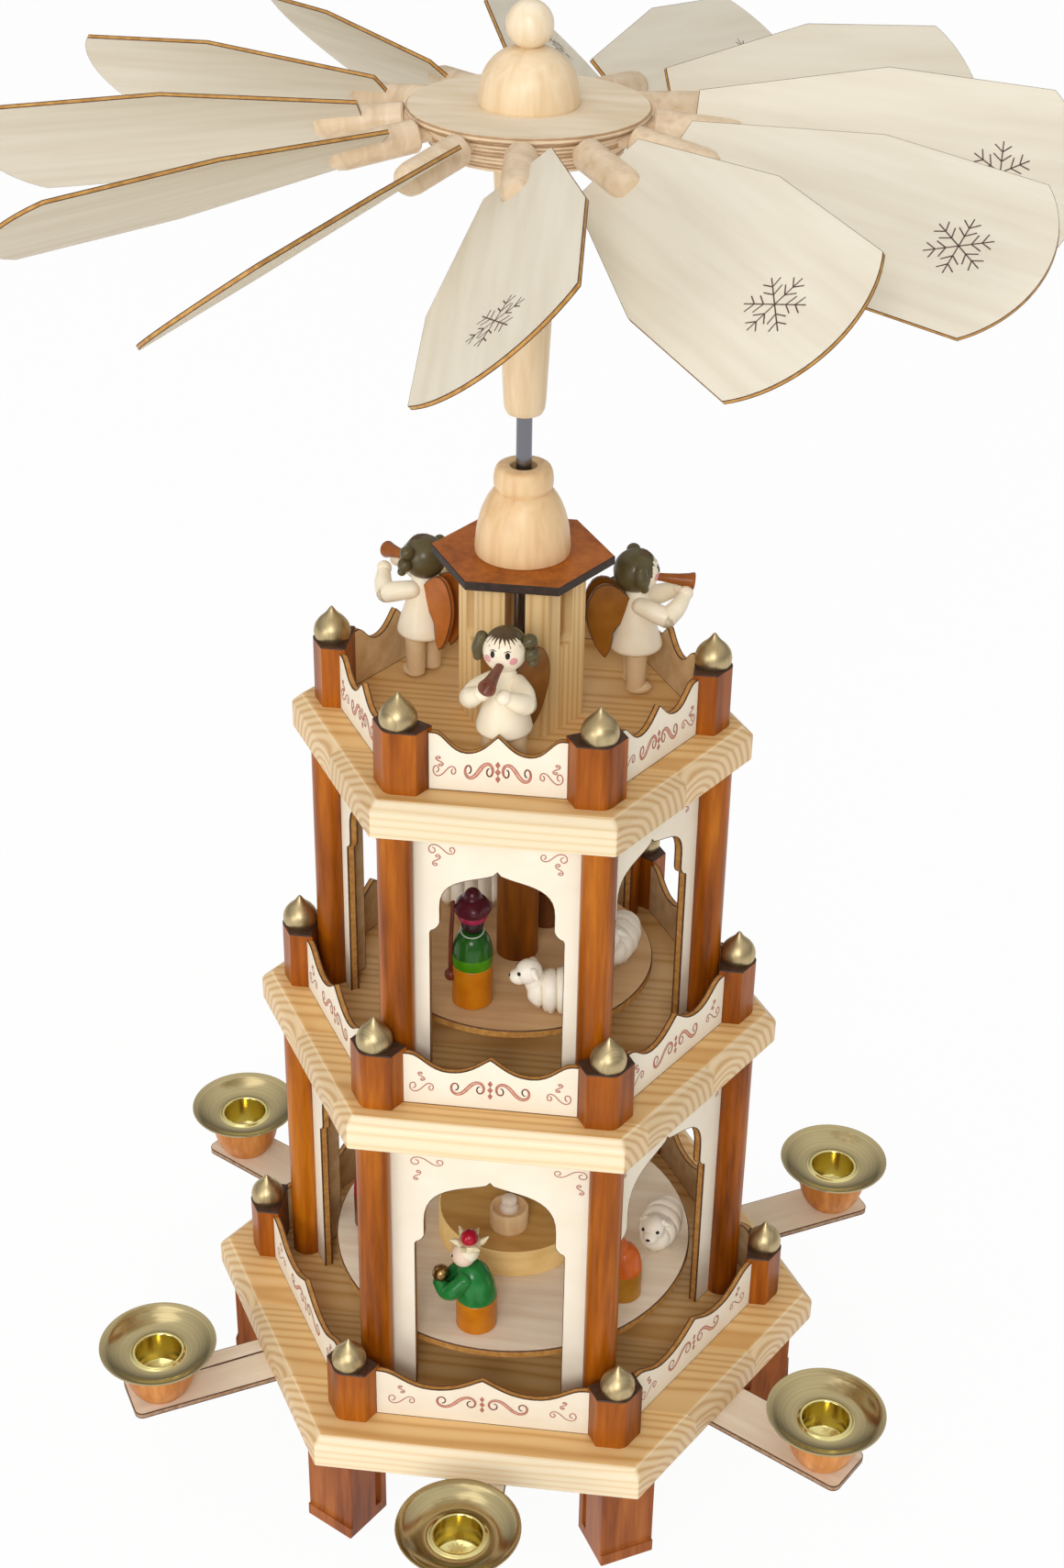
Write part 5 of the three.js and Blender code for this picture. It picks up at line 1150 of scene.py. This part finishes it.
fleece = gloss_paint("fleece_paint", "#F3E8D2", "#F9F1E2", 0.4)
fleece_line = []
for k in range(61):
    along = -SHEEP_HALF + 2 * SHEEP_HALF * k / 60
    swell = math.sqrt(1 - (along / (SHEEP_HALF * 1.12)) ** 2)
    groove = abs(math.sin(math.pi * SHEEP_RIBS * (k / 60)))
    fleece_line.append((SHEEP_RADIUS * swell * (0.8 + 0.2 * groove ** 0.45), along))
fleece_line = [(0, -SHEEP_HALF - 0.2)] + fleece_line + [(0, SHEEP_HALF + 0.2)]
lying = Matrix.Translation((0, 0, SHEEP_RADIUS)) @ Matrix.Rotation(math.pi / 2, 4, "Y")
vertices, faces, kinds = moved(turned(fleece_line, 36), lying)
barrel = ([(x, y, max(0.0, z if z > 2.2 else z * 0.4)) for x, y, z in vertices], faces, kinds)
head_shapes = [orb(4.8, (-11.6, 0, 15.0), (0.95, 0.9, 0.95)), orb(3.4, (-14.8, 0, 13.2), (1.0, 0.85, 0.85)),
               limb([(-8.0, 0, 9.0), (-10.6, 0, 13.6)], [4.6, 3.6])]
ears = [limb([(-10.4, side * 3.2, 17.2), (-9.2, side * 5.2, 15.6)], [1.3, 0.8], 10) for side in (-1, 1)]
eyes = [orb(0.7, (-15.0, side * 2.7, 15.9)) for side in (-1, 1)]
eyes.append(orb(0.7, (-18.0, 0, 13.8), (0.6, 1.2, 0.8)))
for name, ((x, y), level, turn) in SHEEP.items():
    figure(name, "rotor", at(x, y, level) @ spin(turn), [
        ("fleece", barrel, fleece, "ivory_paint", 70),
        ("head", merged(head_shapes + ears), fleece, "ivory_paint"),
        ("eyes", merged(eyes), eye_paint, "ivory_paint"),
    ])

# The setting: a plain pale floor, white to the camera and in reflections, and soft studio light from
# the front, from the front left near the table and, faintly, from above.
FLOOR_REACH = 6
FLOOR_GLOW = 0.95
ROOM_GLOW = 0.64
HORIZON_GLOW = 0.18
# name, place, what it points at, size and power of each
LIGHTS = (
    ("key_light", (-1.8, -2.6, 0.8), (0, 0, 0.2), 1.2, 20.0),
    ("front_light", (0.0, -2.8, 1.8), (0, 0, 0.15), 1.0, 35.0),
    ("top_light", (-0.5, -0.3, 2.4), (0, 0, 0.25), 1.0, 3.0),
)

floor_mesh = bpy.data.meshes.new("floor")
corners = [(FLOOR_REACH * x, FLOOR_REACH * y, 0) for x, y in ((-1, -1), (1, -1), (1, 1), (-1, 1))]
floor_mesh.from_pydata(corners, [], [(0, 1, 2, 3)])
floor = bpy.data.objects.new("floor", floor_mesh)
bpy.context.scene.collection.objects.link(floor)
floor_paper, floor_shader = new_material("floor_paper", {"Base Color": linear("#FBFAF8"), "Roughness": 0.9})
rays = add_node(floor_paper, "LightPath")
seen = add_node(floor_paper, "Math", {"operation": "MAXIMUM"},
                {0: rays["Is Camera Ray"], 1: rays["Is Glossy Ray"]})[0]
seen = add_node(floor_paper, "Math", {"operation": "MAXIMUM"}, {0: seen, 1: rays["Is Transmission Ray"]})[0]
glow = add_node(floor_paper, "Math", {"operation": "MULTIPLY", 1: FLOOR_GLOW}, {0: seen})[0]
white = add_node(floor_paper, "Emission", {"Color": linear("#FFFFFF"), "Strength": 1.0})[0]
blend = add_node(floor_paper, "MixShader", {}, {0: glow, 1: floor_shader.outputs[0], 2: white})[0]
feed(floor_paper, blend, floor_paper.node_tree.nodes["Material Output"], "Surface")
floor_mesh.materials.append(floor_paper)

world = bpy.data.worlds.new("studio")
bpy.context.scene.world = world
world.use_nodes = True
backdrop = world.node_tree.nodes["Background"]
backdrop.inputs["Color"].default_value = linear("#FFFFFF")
rays = add_node(world, "LightPath")
# metal mirrors the same white overhead, dimmed towards the horizon as by the dark room
height = add_node(world, "SeparateXYZ", {}, {0: add_node(world, "TexCoord")["Generated"]})[2]
ceiling = add_node(world, "MapRange", {1: 0.1, 2: 0.9, 3: HORIZON_GLOW, 4: 1.0}, {0: height})[0]
mirrored = add_node(world, "MapRange", {3: ROOM_GLOW}, {0: rays["Is Glossy Ray"], 4: ceiling})[0]
seen = add_node(world, "Math", {"operation": "MAXIMUM"},
                {0: rays["Is Camera Ray"], 1: rays["Is Transmission Ray"]})[0]
strength = add_node(world, "MapRange", {4: 1.0}, {0: seen, 3: mirrored})[0]
feed(world, strength, backdrop, "Strength")

for name, spot_at, aim_at, size, power in LIGHTS:
    lamp = bpy.data.lights.new(name, "AREA")
    lamp.energy = power
    lamp.size = size
    lamp_object = bpy.data.objects.new(name, lamp)
    bpy.context.scene.collection.objects.link(lamp_object)
    way = (Vector(aim_at) - Vector(spot_at)).to_track_quat("-Z", "Y")
    lamp_object.matrix_world = Matrix.Translation(spot_at) @ way.to_matrix().to_4x4()

# The camera: 31 degrees above the table, a little to the right of the front side.
YAW, PITCH, ROLL = -0.116, 0.540, 0.017
CAMERA_AT = (0.08466, -0.69008, 0.67852)
LENS = 55.43
SENSOR_WIDTH = 36

way = Vector((math.sin(YAW) * math.cos(PITCH), math.cos(YAW) * math.cos(PITCH), -math.sin(PITCH)))
right = Vector((math.cos(YAW), -math.sin(YAW), 0))
over = right.cross(way)
right, over = right * math.cos(ROLL) + over * math.sin(ROLL), over * math.cos(ROLL) - right * math.sin(ROLL)
camera = bpy.data.cameras.new("camera")
camera.lens = LENS
camera.sensor_width = SENSOR_WIDTH
camera_object = bpy.data.objects.new("camera", camera)
bpy.context.scene.collection.objects.link(camera_object)
turn = Matrix.Identity(4)
for row in range(3):
    turn[row][0], turn[row][1], turn[row][2] = right[row], over[row], -way[row]
camera_object.matrix_world = Matrix.Translation(CAMERA_AT) @ turn
bpy.context.scene.camera = camera_object
bpy.context.scene.view_settings.view_transform = "Standard"
